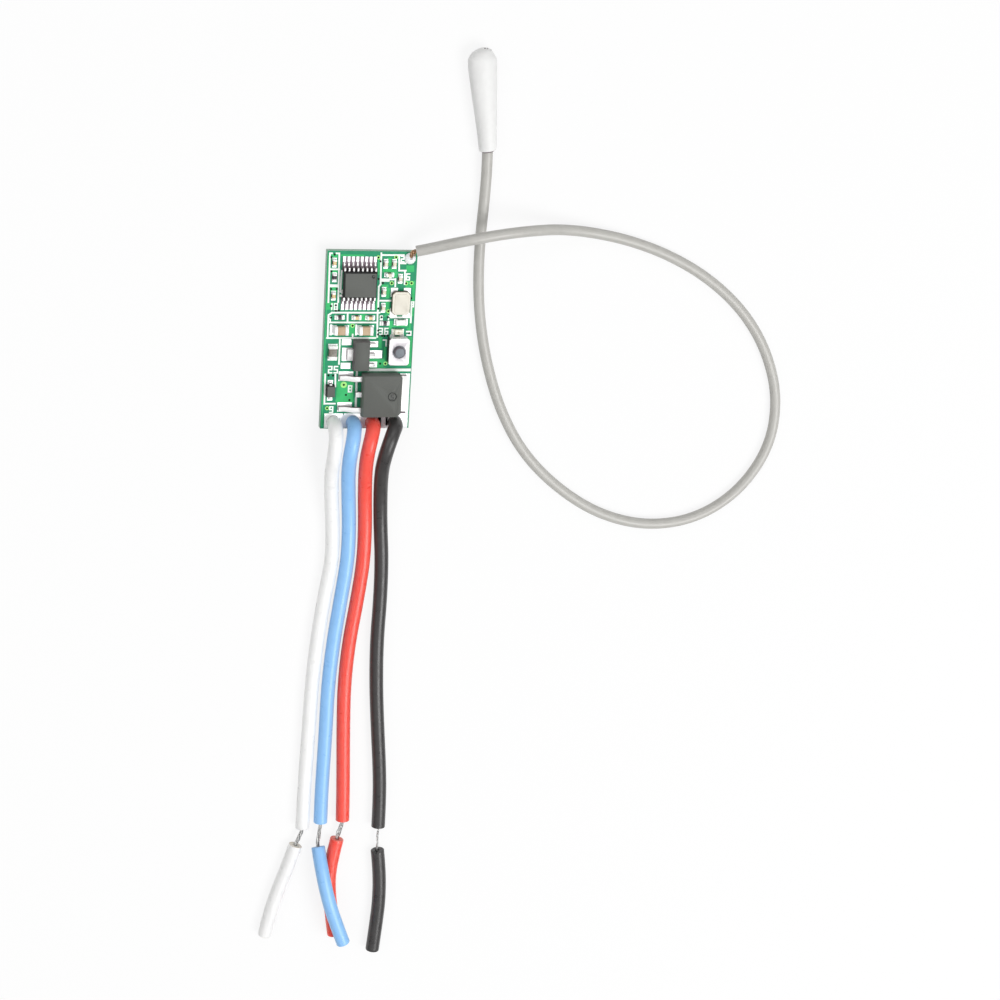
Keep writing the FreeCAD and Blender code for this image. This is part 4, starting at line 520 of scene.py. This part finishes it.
tab_edge_shade.data.materials.append(grained("tab_edge_painted_shade", paint(96, 82, 90), paint(124, 110, 118), 0.0003, 0.5))
for piece in (flux, film, tab_edge_shade):
    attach(piece, "module")

# Silicon, copper and quartz inside the packages
# They are sealed in and show in no view, but each is finished as what it is.
silicon = grained("silicon", paint(70, 72, 80), paint(92, 92, 100), 0.0002, 0.15, metallic=0.5)
copper = grained("bare_copper", paint(122, 82, 54), paint(226, 182, 142), 0.00016, 0.32, metallic=0.7)
quartz = grained("clear_quartz", paint(225, 230, 232), paint(236, 240, 242), 0.0005, 0.08)
for node in ("receiver_ic_die", "power_mosfet_die", "regulator_die", "led_die"):
    finish_node(node, silicon)
finish_node("receiver_ic_paddle", copper)
finish_node("crystal_quartz_blank", quartz)

# Chip parts
# Small ceramic blocks, tan, pale or glazed dark, whose ends are dipped in silver and tinned.
CHIP_EDGE = 0.00003
# Each kind, its slot and its finish: name, two tones, grain, roughness and sheen
CHIPS = [
    ("small_capacitor", "capacitor_ceramic", "tan_ceramic", (214, 188, 136), (232, 208, 160), 0.00015, 0.5,
     0.5),
    ("large_capacitor", "capacitor_ceramic", "brown_tan", (176, 150, 118), (198, 172, 140), 0.0002, 0.5, 0.5),
    ("small_resistor", "resistor_glaze", "dark_glaze", (46, 44, 48), (72, 70, 74), 0.0002, 0.3, 0.3),
    ("large_resistor", "resistor_glaze", "brown_glaze", (80, 74, 68), (150, 144, 134), 0.0003, 0.3, 0.3),
    ("small_inductor", "pale_ceramic", "pale_ceramic", (214, 206, 182), (232, 226, 206), 0.00015, 0.45, 0.5),
    ("middle_inductor", "pale_ceramic", "white_ceramic", (236, 238, 234), (246, 246, 242), 0.0002, 0.45, 0.5),
]
for kind, slot, name, colour, other, grain, roughness, sheen in CHIPS:
    ceramic = grained(name, paint(*colour), paint(*other), grain, roughness, sheen=sheen)
    softened(f"{kind}_bodies", f"{kind}_blocks", ceramic, CHIP_EDGE)
    softened(f"{kind}_terminals", f"{kind}_caps", tin, CHIP_EDGE)

# Quartz crystal
# A fired ceramic tray with rounded corners, closed by a plated lid that is seam welded on.
tray = grained("fired_tray", paint(124, 112, 98), paint(146, 134, 118), 0.0003, 0.6)
# The steep sides of the tray and the lid are painted darker: painted shade
paint_steep_light_and_shade(tray, paint(58, 52, 48), paint(82, 74, 68))
lid_metal = grained("plated_lid", paint(222, 217, 203), paint(231, 227, 215), 0.0004, 0.45, sheen=0.2)
paint_steep_light_and_shade(lid_metal, paint(150, 138, 116), paint(186, 174, 150))
softened("crystal_base", "crystal_tray", tray, 0.00004)
softened("crystal_lid", "crystal_cover", lid_metal, 0.00004)

# Pairing switch
# A moulded base with a snap dome, the button on top of it and a pressed steel cover folded down over both.
steel = grained("pressed_steel", paint(217, 213, 217), paint(229, 226, 229), 0.0003, 0.4, metallic=0.2,
                sheen=0.2)
base_black = grained("switch_base_black", paint(36, 38, 38), paint(52, 54, 54), 0.0002, 0.5)
button_grey = grained("button_grey", paint(118, 124, 130), paint(134, 140, 146), 0.0002, 0.42, sheen=0.15)
# The button's steep sides are painted darker, painted shade, and the cover's steep sides lighter, painted
# light
paint_steep_light_and_shade(button_grey, paint(112, 104, 110), paint(134, 124, 130))
paint_steep_light_and_shade(steel, paint(247, 245, 247), paint(252, 251, 252))
softened("switch_housing", "switch_base", base_black, 0.00004)
softened("switch_cover", "switch_shield", steel, 0.00003)
softened("switch_plunger", "switch_button", button_grey, 0.00006, angle=40)
finish_node("switch_snap_dome", steel)

# Indicator light
# A white carrier plate with tinned ends and a clear cream moulding, through which its die shows as a small
# tan cross.
CROSS_ARMS = (0.16, 0.14)
CROSS_WIDTH = 0.07
CROSS_HEIGHT = 0.000008
led_resin = grained("cream_resin", paint(236, 230, 212), paint(246, 242, 228), 0.0003, 0.3)
white_plate = grained("white_plate", paint(226, 224, 208), paint(236, 234, 220), 0.0002, 0.5)
softened("led_carrier", "led_plate", white_plate, 0.00002)
softened("led_lens", "led_moulding", led_resin, 0.00003)
led_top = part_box("led_lens")[1][2]
cross = start_mesh("indicator_cross")
for arm in (Vector((CROSS_ARMS[0], 0)), Vector((0, CROSS_ARMS[1]))):
    lay_strip(middle_of("led_lens") - arm, middle_of("led_lens") + arm, CROSS_WIDTH, led_top)
thicken(cross, CROSS_HEIGHT)
cross.data.materials.append(grained("cross_tan", paint(196, 172, 134), paint(212, 190, 154), 0.0001, 0.5))
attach(cross, "module")

# Leads
# Four stranded hook-up wires. Each comes up out of its hole, bends over the board's edge and lies on the
# table. The last 15 mm of its soft insulation is cut round and pulled along, so the twisted strands show in
# the gap, more or less sprung apart.
LEAD_WIDTH = 0.0021
LEAD_BORE = 0.00066
RIM_ROUNDING = 0.00012
# How far the strands run straight out of a cut, and how far they reach into the pulled piece, in millimetres
STRIP_STUB = 0.5
STRANDS_HELD = 2.4
STRAND_STEP = 0.3
UPRIGHT_SHARE = 0.05
# Each strand springs out by its own share, which goes round by this angle from one strand to the next
UNEVEN_TURN = 2.4
# A face of an end belongs to the cut if it lies this near to it and faces this much outwards
CUT_FACE_DEPTH = 0.00006
CUT_FACE_FACING = 0.6
# The nick in the black lead's pulled piece: the side that it lies on, its depth, how far the rim reaches, and
# how much the rim has to lean to that side for the nick to begin
NOTCH_SIDE = (-0.45, 0, 0.9)
NOTCH_DEPTH = 0.00035
NOTCH_RIM = 0.0002
NOTCH_LEAN = 0.9
# Strands round the middle one, their width, lay and ring, and how far they spring apart, in millimetres
LEAD_STRANDS = {
    "white": (6, 0.16, 3.6, 0.19, 0.1), "blue": (5, 0.17, 9.0, 0.19, 0.06), "red": (6, 0.13, 5.0, 0.17, 0.3),
    "black": (3, 0.15, 6.0, 0.1, 0.04),
}
LEAD_ROUTES = {
    "white": [
        (-4.6, -12.1, 2.05), (-4.6, -12.1, 3.45), (-4.65, -12.8, 4.65), (-4.72, -14.1, 5.3),
        (-4.8, -16.1, 5.05), (-4.85, -19.0, 3.55), (-4.4, -23.3, 1.85), (-3.8, -28.4, 1.05),
        (-3.7, -33.6, 1.05), (-4.7, -39.6, 1.05), (-5.45, -46.2, 1.05), (-5.95, -53.2, 1.05),
        (-6.12, -60.4, 1.05), (-6.36, -67.2, 1.05), (-6.46, -72.2, 1.05), (-6.47, -76.45, 1.05),
    ],
    "blue": [
        (-1.75, -12.1, 2.05), (-1.75, -12.1, 3.45), (-2.0, -12.8, 4.65), (-2.25, -14.1, 5.3),
        (-2.5, -16.1, 5.05), (-2.4, -19.0, 3.55), (-1.85, -23.3, 1.85), (-1.38, -28.2, 1.05),
        (-1.35, -33.4, 1.05), (-2.13, -39.5, 1.05), (-2.95, -46.2, 1.05), (-3.47, -53.2, 1.05),
        (-3.52, -60.4, 1.05), (-3.67, -67.2, 1.05), (-3.74, -71.8, 1.05), (-3.71, -75.65, 1.05),
    ],
    "red": [
        (1.05, -12.1, 2.05), (1.05, -12.1, 3.45), (0.7, -12.8, 4.65), (0.28, -14.1, 5.3),
        (-0.02, -16.1, 5.05), (0.1, -19.0, 3.55), (0.56, -23.3, 1.85), (1.0, -28.2, 1.05),
        (1.03, -33.6, 1.05), (0.33, -39.8, 1.05), (-0.62, -46.6, 1.05), (-1.02, -53.2, 1.05),
        (-0.85, -60.2, 1.05), (-0.56, -67.0, 1.05), (-0.38, -71.8, 1.05), (-0.3, -75.5, 1.05),
    ],
    "black": [
        (4.4, -12.1, 2.05), (4.4, -12.1, 3.45), (3.75, -12.8, 4.65), (3.15, -14.1, 5.3),
        (2.65, -16.1, 5.05), (2.5, -19.0, 3.55), (2.88, -23.3, 1.85), (3.3, -28.2, 1.05),
        (3.75, -33.4, 1.05), (3.84, -39.4, 1.05), (3.63, -46.4, 1.05), (3.88, -53.6, 1.05),
        (4.45, -60.6, 1.05), (5.08, -67.4, 1.05), (5.34, -72.6, 1.05), (5.33, -76.9, 1.05),
    ],
}
END_ROUTES = {
    "white": [(-7.4, -79.3, 1.05), (-8.4, -82.6, 1.05), (-10.0, -87.2, 1.05), (-11.1, -91.1, 1.05),
              (-11.7, -94.4, 1.05)],
    "blue": [(-3.95, -79.7, 1.3), (-3.5, -83.1, 2.75), (-2.4, -87.9, 3.5), (-1.1, -91.8, 3.65),
             (0.2, -95.2, 3.7)],
    "red": [(-1.0, -78.6, 1.05), (-1.62, -81.6, 1.05), (-2.05, -85.5, 1.05), (-1.55, -90.2, 1.05),
            (-0.8, -94.95, 1.05)],
    "black": [(5.4, -80.9, 1.05), (5.92, -84.6, 1.05), (6.08, -89.6, 1.05), (5.75, -94.2, 1.05),
              (5.4, -98.1, 1.05)],
}
# Two tones of each insulation, and the tone of its cut face
LEAD_COLOURS = {
    "white": (paint(236, 236, 235), paint(242, 242, 241), paint(222, 208, 180)),
    "blue": (paint(136, 188, 240), paint(150, 199, 246), paint(176, 210, 244)),
    "red": (paint(240, 86, 74), paint(249, 102, 88), paint(250, 158, 144)),
    "black": (paint(52, 50, 51), paint(68, 67, 66), paint(92, 92, 92)),
}
# How deep light gets into the pale and bright ones, in metres
LIGHT_DEPTHS = {"white": 0.0012, "red": 0.0005}


def let_light_through(material, depth):
    """Let light spread inside a pale finish to that depth in metres."""
    shader = material.node_tree.nodes["Principled BSDF"]
    shader.inputs["Subsurface Weight"].default_value = 1.0
    shader.inputs["Subsurface Radius"].default_value = (1.0, 1.0, 1.0)
    shader.inputs["Subsurface Scale"].default_value = depth


def wire_curve(name, route, width):
    """A smooth open curve led by the points of a route in millimetres, and round if it has a width."""
    data = bpy.data.curves.new(name, "CURVE")
    data.dimensions = "3D"
    line = data.splines.new("NURBS")
    line.points.add(len(route) - 1)
    for point, place in zip(line.points, route):
        point.co = (*(Vector(place) * MILLIMETRE), 1.0)
    line.order_u = 3
    line.use_endpoint_u = True
    line.resolution_u = 12
    data.resolution_u = 12
    if width:
        data.bevel_depth = width / 2
        data.bevel_resolution = 8
        data.use_fill_caps = True
    piece = bpy.data.objects.new(name, data)
    bpy.context.scene.collection.objects.link(piece)
    return piece


def line_points(route):
    """Points along the smooth line of a route, read from its curve."""
    guide = wire_curve("guide", route, 0)
    mesh = bpy.data.meshes.new_from_object(guide)
    points = [vertex.co.copy() for vertex in mesh.vertices]
    bpy.data.objects.remove(guide)
    bpy.data.meshes.remove(mesh)
    return points


def evenly(points, step):
    """Points an even step apart along a line of points."""
    spaced = [points[0]]
    left = step
    for start, end in zip(points, points[1:]):
        run = (end - start).length
        while left <= run:
            spaced.append(start.lerp(end, left / run))
            left += step
        left -= run
    spaced.append(points[-1])
    return spaced


def twisted_strands(name, points, make, held, gap):
    """A bundle of thin round strands, one in the middle and the others wound round it, as one mesh. They are
    held over the last stretch and spring apart over the gap before it."""
    around, width, lay, ring, spring = make
    data = bpy.data.curves.new(name, "CURVE")
    data.dimensions = "3D"
    data.bevel_depth = width / 2 * MILLIMETRE
    data.bevel_resolution = 1
    data.use_fill_caps = True
    spots = evenly(points, STRAND_STEP * MILLIMETRE)
    for strand in range(around + 1):
        line = data.splines.new("POLY")
        line.points.add(len(spots) - 1)
        for i, spot in enumerate(spots):
            ahead = spots[min(i + 1, len(spots) - 1)] - spots[max(i - 1, 0)]
            side = ahead.cross(Vector((0, 0, 1)))
            # Where the bundle stands upright, its side comes from the x axis instead
            if side.length < UPRIGHT_SHARE * ahead.length:
                side = ahead.cross(Vector((1, 0, 0)))
            side.normalize()
            up = side.cross(ahead).normalized()
            share = ((len(spots) - 1 - i) * STRAND_STEP - held) / gap
            apart = spring * math.sin(math.pi * share) ** 2 if 0 < share < 1 else 0.0
            uneven = 0.5 + 0.5 * math.sin(UNEVEN_TURN * strand)
            turn = 2 * math.pi * (i * STRAND_STEP / lay + strand / around)
            reach = (ring + apart * uneven) * MILLIMETRE if strand < around else 0.0
            spot = spot + side * math.cos(turn) * reach + up * math.sin(turn) * reach
            line.points[i].co = (*spot, 1.0)
    piece = bpy.data.objects.new(name, data)
    bpy.context.scene.collection.objects.link(piece)
    pick(piece)
    bpy.ops.object.convert(target="MESH")
    bpy.ops.object.shade_smooth()
    return bpy.context.object


def hollow_end(name, route, width, bore):
    """A short piece of insulation with its bore open at both ends and its rims slightly rounded."""
    piece = wire_curve(name, route, width)
    piece.data.use_fill_caps = False
    pick(piece)
    bpy.ops.object.convert(target="MESH")
    piece = bpy.context.object
    wall = piece.modifiers.new("wall", "SOLIDIFY")
    wall.thickness = (width - bore) / 2
    wall.offset = -1.0
    wall.use_even_offset = True
    rim = piece.modifiers.new("rim", "BEVEL")
    rim.width = RIM_ROUNDING
    rim.segments = 3
    rim.limit_method = "ANGLE"
    rim.angle_limit = math.radians(60)
    bpy.ops.object.modifier_apply(modifier="wall")
    bpy.ops.object.modifier_apply(modifier="rim")
    bpy.ops.object.shade_smooth_by_angle(angle=math.radians(40))
    return piece


def paint_cut_faces(piece, route, cut_face):
    """Give the two end faces of a piece of insulation their own finish."""
    piece.data.materials.append(cut_face)
    for end, inner in ((route[0], route[1]), (route[-1], route[-2])):
        place = Vector(end) * MILLIMETRE
        outwards = (Vector(end) - Vector(inner)).normalized()
        for face in piece.data.polygons:
            depth = (place - face.center).dot(outwards)
            near = (place - face.center).length < LEAD_WIDTH
            if near and depth < CUT_FACE_DEPTH and face.normal.dot(outwards) > CUT_FACE_FACING:
                face.material_index = 1


def notch(piece, route):
    """Nick the rim of a piece's first end with a small V on the notch's side."""
    place = Vector(route[0]) * MILLIMETRE
    inwards = (Vector(route[1]) - Vector(route[0])).normalized()
    for vertex in piece.data.vertices:
        offset = vertex.co - place
        along = offset.dot(inwards)
        lean = (offset - inwards * along).normalized().dot(Vector(NOTCH_SIDE))
        if abs(along) < NOTCH_RIM and lean > NOTCH_LEAN:
            vertex.co += inwards * NOTCH_DEPTH * (lean - NOTCH_LEAN) / (1 - NOTCH_LEAN)


tinned_strand = grained("tinned_strand", paint(140, 140, 140), paint(222, 222, 220), 0.0003, 0.3, 0.8)
for lead, route in LEAD_ROUTES.items():
    colour, other, cut_colour = LEAD_COLOURS[lead]
    vinyl = grained(f"{lead}_vinyl", colour, other, 0.0011, 0.33, bump=0.000012)
    if lead in LIGHT_DEPTHS:
        let_light_through(vinyl, LIGHT_DEPTHS[lead])
    cut_face = grained(f"{lead}_cut_face", cut_colour, colour, 0.0004, 0.5)
    last, before = Vector(route[-1]), Vector(route[-2])
    start, after = Vector(END_ROUTES[lead][0]), Vector(END_ROUTES[lead][1])
    stub_out = last + (last - before).normalized() * STRIP_STUB
    stub_in = start + (start - after).normalized() * STRIP_STUB
    inside = start.lerp(after, STRANDS_HELD / (after - start).length)
    cord = wire_curve(f"{lead}_lead", route, LEAD_WIDTH)
    cord.data.materials.append(vinyl)
    strand_line = line_points(route + [tuple(stub_out), tuple(stub_in), tuple(start), tuple(inside)])
    strands = twisted_strands(f"{lead}_strands", strand_line, LEAD_STRANDS[lead], STRANDS_HELD,
                              (start - last).length)
    strands.data.materials.append(tinned_strand)
    end = hollow_end(f"{lead}_cut_end", END_ROUTES[lead], LEAD_WIDTH, LEAD_BORE)
    end.data.materials.append(vinyl)
    paint_cut_faces(end, END_ROUTES[lead], cut_face)
    if lead == "black":
        notch(end, END_ROUTES[lead])
    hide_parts(f"{lead}_lead_insulation")
    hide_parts(f"{lead}_lead_strands")
    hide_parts(f"{lead}_lead_cut_end")
    for piece in (cord, strands, end):
        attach(piece, "module")

# Antenna wire
# Thin grey insulated wire soldered at the corner of the board. It runs round in one loop and crosses over
# itself, and a tapered grey sleeve is shrunk over its far end. Two strand tips show at the sleeve's end, and
# a dark line of painted shadow lies round the wire at its mouth.
ANTENNA_WIDTH = 0.00156
ANTENNA_ROUTE = [
    (6.1, 13.25, 2.95), (8.0, 13.75, 3.4), (10.4, 14.55, 4.3), (13.1, 15.4, 5.4), (17.8, 16.3, 5.4),
    (22.3, 16.65, 4.35), (27.0, 16.6, 2.5), (32.5, 15.95, 1.15), (38.6, 14.7, 0.78), (45.1, 12.45, 0.78),
    (51.5, 8.95, 0.78), (57.2, 4.1, 0.78), (61.4, -1.95, 0.78), (63.85, -9.2, 0.78), (63.4, -16.9, 0.78),
    (59.2, -23.8, 0.78), (52.7, -28.1, 0.78), (45.0, -29.2, 0.78), (37.3, -27.35, 0.78), (30.4, -23.2, 0.78),
    (24.5, -17.6, 0.78), (20.5, -10.9, 0.78), (17.9, -3.6, 0.78), (16.4, 3.4, 0.78), (15.85, 9.8, 0.78),
    (15.85, 15.6, 0.78), (16.1, 20.6, 0.86), (16.1, 25.2, 1.15), (15.85, 29.9, 1.35), (15.3, 34.2, 1.48),
    (14.85, 38.2, 1.5), (14.85, 41.6, 1.42),
]
# The bare strands, from the solder up into the wire
ANTENNA_JOINT_STRANDS = [
    (5.42, 12.3, 2.52), (5.5, 12.7, 2.8), (5.77, 13.16, 2.88), (6.1, 13.25, 2.95), (7.0, 13.49, 3.16),
]
# As for the leads, then how far the strands are held and the stretch over which they spring apart
ANTENNA_STRANDS = (7, 0.14, 3.0, 0.16, 0.34)
ANTENNA_HELD = 0.9
ANTENNA_GAP = 1.4
# Each station's centre and its half width and half height, in millimetres
SLEEVE_STATIONS = [
    ((16.02, 27.45, 1.3), 1.23, 1.22),
    ((15.85, 28.6, 1.35), 1.33, 1.27),
    ((15.7, 29.8, 1.4), 1.4, 1.31),
    ((15.55, 31.0, 1.46), 1.49, 1.36),
    ((15.3, 32.7, 1.53), 1.62, 1.42),
    ((15.03, 34.5, 1.6), 1.77, 1.47),
    ((14.8, 36.2, 1.65), 1.89, 1.5),
    ((14.56, 37.9, 1.7), 2.0, 1.53),
    ((14.4, 39.2, 1.72), 2.07, 1.54),
    ((14.33, 40.15, 1.73), 2.08, 1.52),
    ((14.34, 40.65, 1.7), 1.88, 1.38),
    ((14.38, 41.1, 1.66), 1.55, 1.19),
    ((14.48, 41.45, 1.6), 1.17, 0.94),
    ((14.62, 41.7, 1.54), 0.78, 0.68),
    ((14.7, 41.86, 1.5), 0.42, 0.4),
]
SLEEVE_RIM_SLANT = 10.0
SLEEVE_SIDES = 40
SLEEVE_ROUNDING = 0.00018
SLEEVE_LIGHT_DEPTH = 0.0006
STRAND_TIPS = [(14.52, 41.76, 2.0), (14.86, 41.68, 2.04)]
TIP_RADIUS = 0.09
TIP_LENGTH = 0.24
RIM_SHADOW_CENTRE = (16.03, 27.36, 1.29)
RIM_SHADOW_RADIUS = 0.79
RIM_SHADOW_HALF_THICKNESS = 0.09
antenna_vinyl = grained("antenna_vinyl", paint(174, 172, 167), paint(190, 189, 184), 0.0012, 0.38,
                        bump=0.00001)
sleeve_grey = grained("sleeve_grey", paint(226, 226, 225), paint(234, 234, 233), 0.0009, 0.42, bump=0.000012,
                      sheen=0.25)
let_light_through(sleeve_grey, SLEEVE_LIGHT_DEPTH)

antenna = wire_curve("antenna_wire", ANTENNA_ROUTE, ANTENNA_WIDTH)
antenna.data.materials.append(antenna_vinyl)
antenna_core = twisted_strands("antenna_core", line_points(ANTENNA_JOINT_STRANDS), ANTENNA_STRANDS,
                               ANTENNA_HELD, ANTENNA_GAP)
antenna_core.data.materials.append(copper)

rim_centre, rim_half_width, rim_half_height = SLEEVE_STATIONS[0]
bpy.ops.mesh.primitive_circle_add(
    vertices=SLEEVE_SIDES, radius=1.0, fill_type="NGON", location=Vector(rim_centre) * MILLIMETRE,
    rotation=(math.radians(90), 0, 0),
)
sleeve = bpy.context.object
sleeve.name = "antenna_sleeve"
sleeve.data.name = "antenna_sleeve"
bpy.ops.object.mode_set(mode="EDIT")
bpy.ops.mesh.select_all(action="SELECT")
bpy.ops.transform.resize(
    value=(rim_half_width * MILLIMETRE, 1, rim_half_height * MILLIMETRE),
    center_override=Vector(rim_centre) * MILLIMETRE,
)
bpy.ops.transform.rotate(
    value=-math.radians(SLEEVE_RIM_SLANT), orient_axis="Z", center_override=Vector(rim_centre) * MILLIMETRE,
)
# Only the rim is slanted, so the first ring after it is turned back
slant_left = SLEEVE_RIM_SLANT
for (centre, half_width, half_height), (next_centre, next_width, next_height) in zip(SLEEVE_STATIONS,
                                                                                    SLEEVE_STATIONS[1:]):
    step = (Vector(next_centre) - Vector(centre)) * MILLIMETRE
    bpy.ops.mesh.extrude_region_move(TRANSFORM_OT_translate={"value": step})
    if slant_left:
        bpy.ops.transform.rotate(
            value=math.radians(slant_left), orient_axis="Z", center_override=Vector(next_centre) * MILLIMETRE,
        )
        slant_left = 0.0
    bpy.ops.transform.resize(
        value=(next_width / half_width, 1, next_height / half_height),
        center_override=Vector(next_centre) * MILLIMETRE,
    )
bpy.ops.mesh.select_all(action="SELECT")
bpy.ops.mesh.normals_make_consistent(inside=False)
bpy.ops.object.mode_set(mode="OBJECT")
bpy.ops.object.transform_apply(location=True, rotation=True, scale=True)
rounding = sleeve.modifiers.new("rounding", "BEVEL")
rounding.width = SLEEVE_ROUNDING
rounding.segments = 3
rounding.limit_method = "ANGLE"
rounding.angle_limit = math.radians(50)
bpy.ops.object.modifier_apply(modifier=rounding.name)
bpy.ops.object.shade_smooth_by_angle(angle=math.radians(45))
sleeve.data.materials.append(sleeve_grey)

tips = start_mesh("antenna_strand_tips")
for place in STRAND_TIPS:
    bpy.ops.mesh.primitive_cylinder_add(
        vertices=12, radius=TIP_RADIUS * MILLIMETRE, depth=TIP_LENGTH * MILLIMETRE,
        location=Vector(place) * MILLIMETRE, rotation=(math.radians(90), 0, 0),
    )
bpy.ops.object.mode_set(mode="OBJECT")
tips.data.materials.append(grained("dark_strand_tip", paint(62, 52, 56), paint(104, 92, 94), 0.0001, 0.4))
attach(tips, "module")

# A dark ring round the wire under the sleeve's rim: painted shadow
rim_shadow_line = start_mesh("sleeve_rim_shadow")
bpy.ops.mesh.primitive_torus_add(
    major_segments=SLEEVE_SIDES, minor_segments=8, major_radius=RIM_SHADOW_RADIUS * MILLIMETRE,
    minor_radius=RIM_SHADOW_HALF_THICKNESS * MILLIMETRE, location=Vector(RIM_SHADOW_CENTRE) * MILLIMETRE,
    rotation=(math.radians(90), 0, math.radians(SLEEVE_RIM_SLANT)),
)
bpy.ops.object.mode_set(mode="OBJECT")
bpy.ops.object.shade_smooth()
rim_shadow_line.data.materials.append(grained("painted_rim_shadow", paint(104, 92, 96), paint(132, 118, 122), 0.0003, 0.5))
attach(rim_shadow_line, "module")

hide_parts("antenna_insulation")
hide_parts("antenna_strands")
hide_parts("antenna_end_sleeve")
for piece in (antenna, antenna_core, sleeve):
    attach(piece, "module")

# Table, lamps and camera
# The part lies on a white table under a bright ceiling with darker walls, and is seen from above.
TABLE_SIZE = 3.0
TABLE_DROP = 0.00002
TABLE_TONE = (0.8, 0.8, 0.8, 1.0)
TABLE_ROUGHNESS = 0.9
TABLE_GLOW = 0.85
bpy.ops.mesh.primitive_plane_add(size=TABLE_SIZE, location=(0, 0, -TABLE_DROP))
table = bpy.context.object
table.name = "table"
bpy.ops.object.transform_apply(location=True)
table_white = bpy.data.materials.new("table_white")
table_white.use_nodes = True
nodes, links = table_white.node_tree.nodes, table_white.node_tree.links
nodes["Principled BSDF"].inputs["Base Color"].default_value = TABLE_TONE
nodes["Principled BSDF"].inputs["Roughness"].default_value = TABLE_ROUGHNESS
# The table glows only towards the camera and where it is mirrored or seen through something
rays = nodes.new("ShaderNodeLightPath")
seen = rays.outputs["Is Camera Ray"]
for kind in ("Is Glossy Ray", "Is Transmission Ray"):
    either = nodes.new("ShaderNodeMath")
    either.operation = "MAXIMUM"
    links.new(seen, either.inputs[0])
    links.new(rays.outputs[kind], either.inputs[1])
    seen = either.outputs[0]
share = nodes.new("ShaderNodeMath")
share.operation = "MULTIPLY"
share.inputs[1].default_value = TABLE_GLOW
links.new(seen, share.inputs[0])
glow = nodes.new("ShaderNodeEmission")
blend = nodes.new("ShaderNodeMixShader")
links.new(share.outputs[0], blend.inputs[0])
links.new(nodes["Principled BSDF"].outputs[0], blend.inputs[1])
links.new(glow.outputs[0], blend.inputs[2])
links.new(blend.outputs[0], nodes["Material Output"].inputs["Surface"])
table.data.materials.append(table_white)

# The room is dark up to the first upward part of a direction, and at its brightest from the second on
ROOM_LOW = 0.1
ROOM_HIGH = 0.75
WALL_BRIGHTNESS = 0.05
CEILING_BRIGHTNESS = 0.62
world = bpy.data.worlds.new("studio")
bpy.context.scene.world = world
world.use_nodes = True
nodes, links = world.node_tree.nodes, world.node_tree.links
nodes["Background"].inputs["Color"].default_value = (1.0, 1.0, 1.0, 1.0)
heading = nodes.new("ShaderNodeTexCoord")
height = nodes.new("ShaderNodeSeparateXYZ")
links.new(heading.outputs["Generated"], height.inputs[0])
brightness = nodes.new("ShaderNodeMapRange")
brightness.inputs["From Min"].default_value = ROOM_LOW
brightness.inputs["From Max"].default_value = ROOM_HIGH
brightness.inputs["To Min"].default_value = WALL_BRIGHTNESS
brightness.inputs["To Max"].default_value = CEILING_BRIGHTNESS
links.new(height.outputs["Z"], brightness.inputs["Value"])
links.new(brightness.outputs["Result"], nodes["Background"].inputs["Strength"])

# Each lamp's name, place, width and power
LAMPS = [
    ("key_lamp", (0.28, -0.20, 0.55), 0.40, 2.6),
    ("fill_lamp", (-0.45, 0.15, 0.50), 0.50, 0.8),
    ("back_lamp", (0.05, 0.55, 0.45), 0.50, 0.7),
]
for name, place, size, power in LAMPS:
    bpy.ops.object.light_add(type="AREA", location=place)
    lamp = bpy.context.object
    lamp.name = name
    lamp.data.shape = "DISK"
    lamp.data.size = size
    lamp.data.energy = power
    lamp.rotation_euler = (-Vector(place)).to_track_quat("-Z", "Y").to_euler()

LENS = 83.76
SENSOR_WIDTH = 36.0
CAMERA_PLACE = (-0.067748, 0.078818, 0.318956)
CAMERA_TURN = (-18.3651, -14.47335, 3.75916)
view = bpy.data.cameras.new("photo_view")
view.lens = LENS
view.sensor_width = SENSOR_WIDTH
camera = bpy.data.objects.new("photo_view", view)
bpy.context.scene.collection.objects.link(camera)
camera.location = CAMERA_PLACE
camera.rotation_euler = [math.radians(angle) for angle in CAMERA_TURN]
bpy.context.scene.camera = camera
bpy.context.scene.view_settings.view_transform = "Standard"
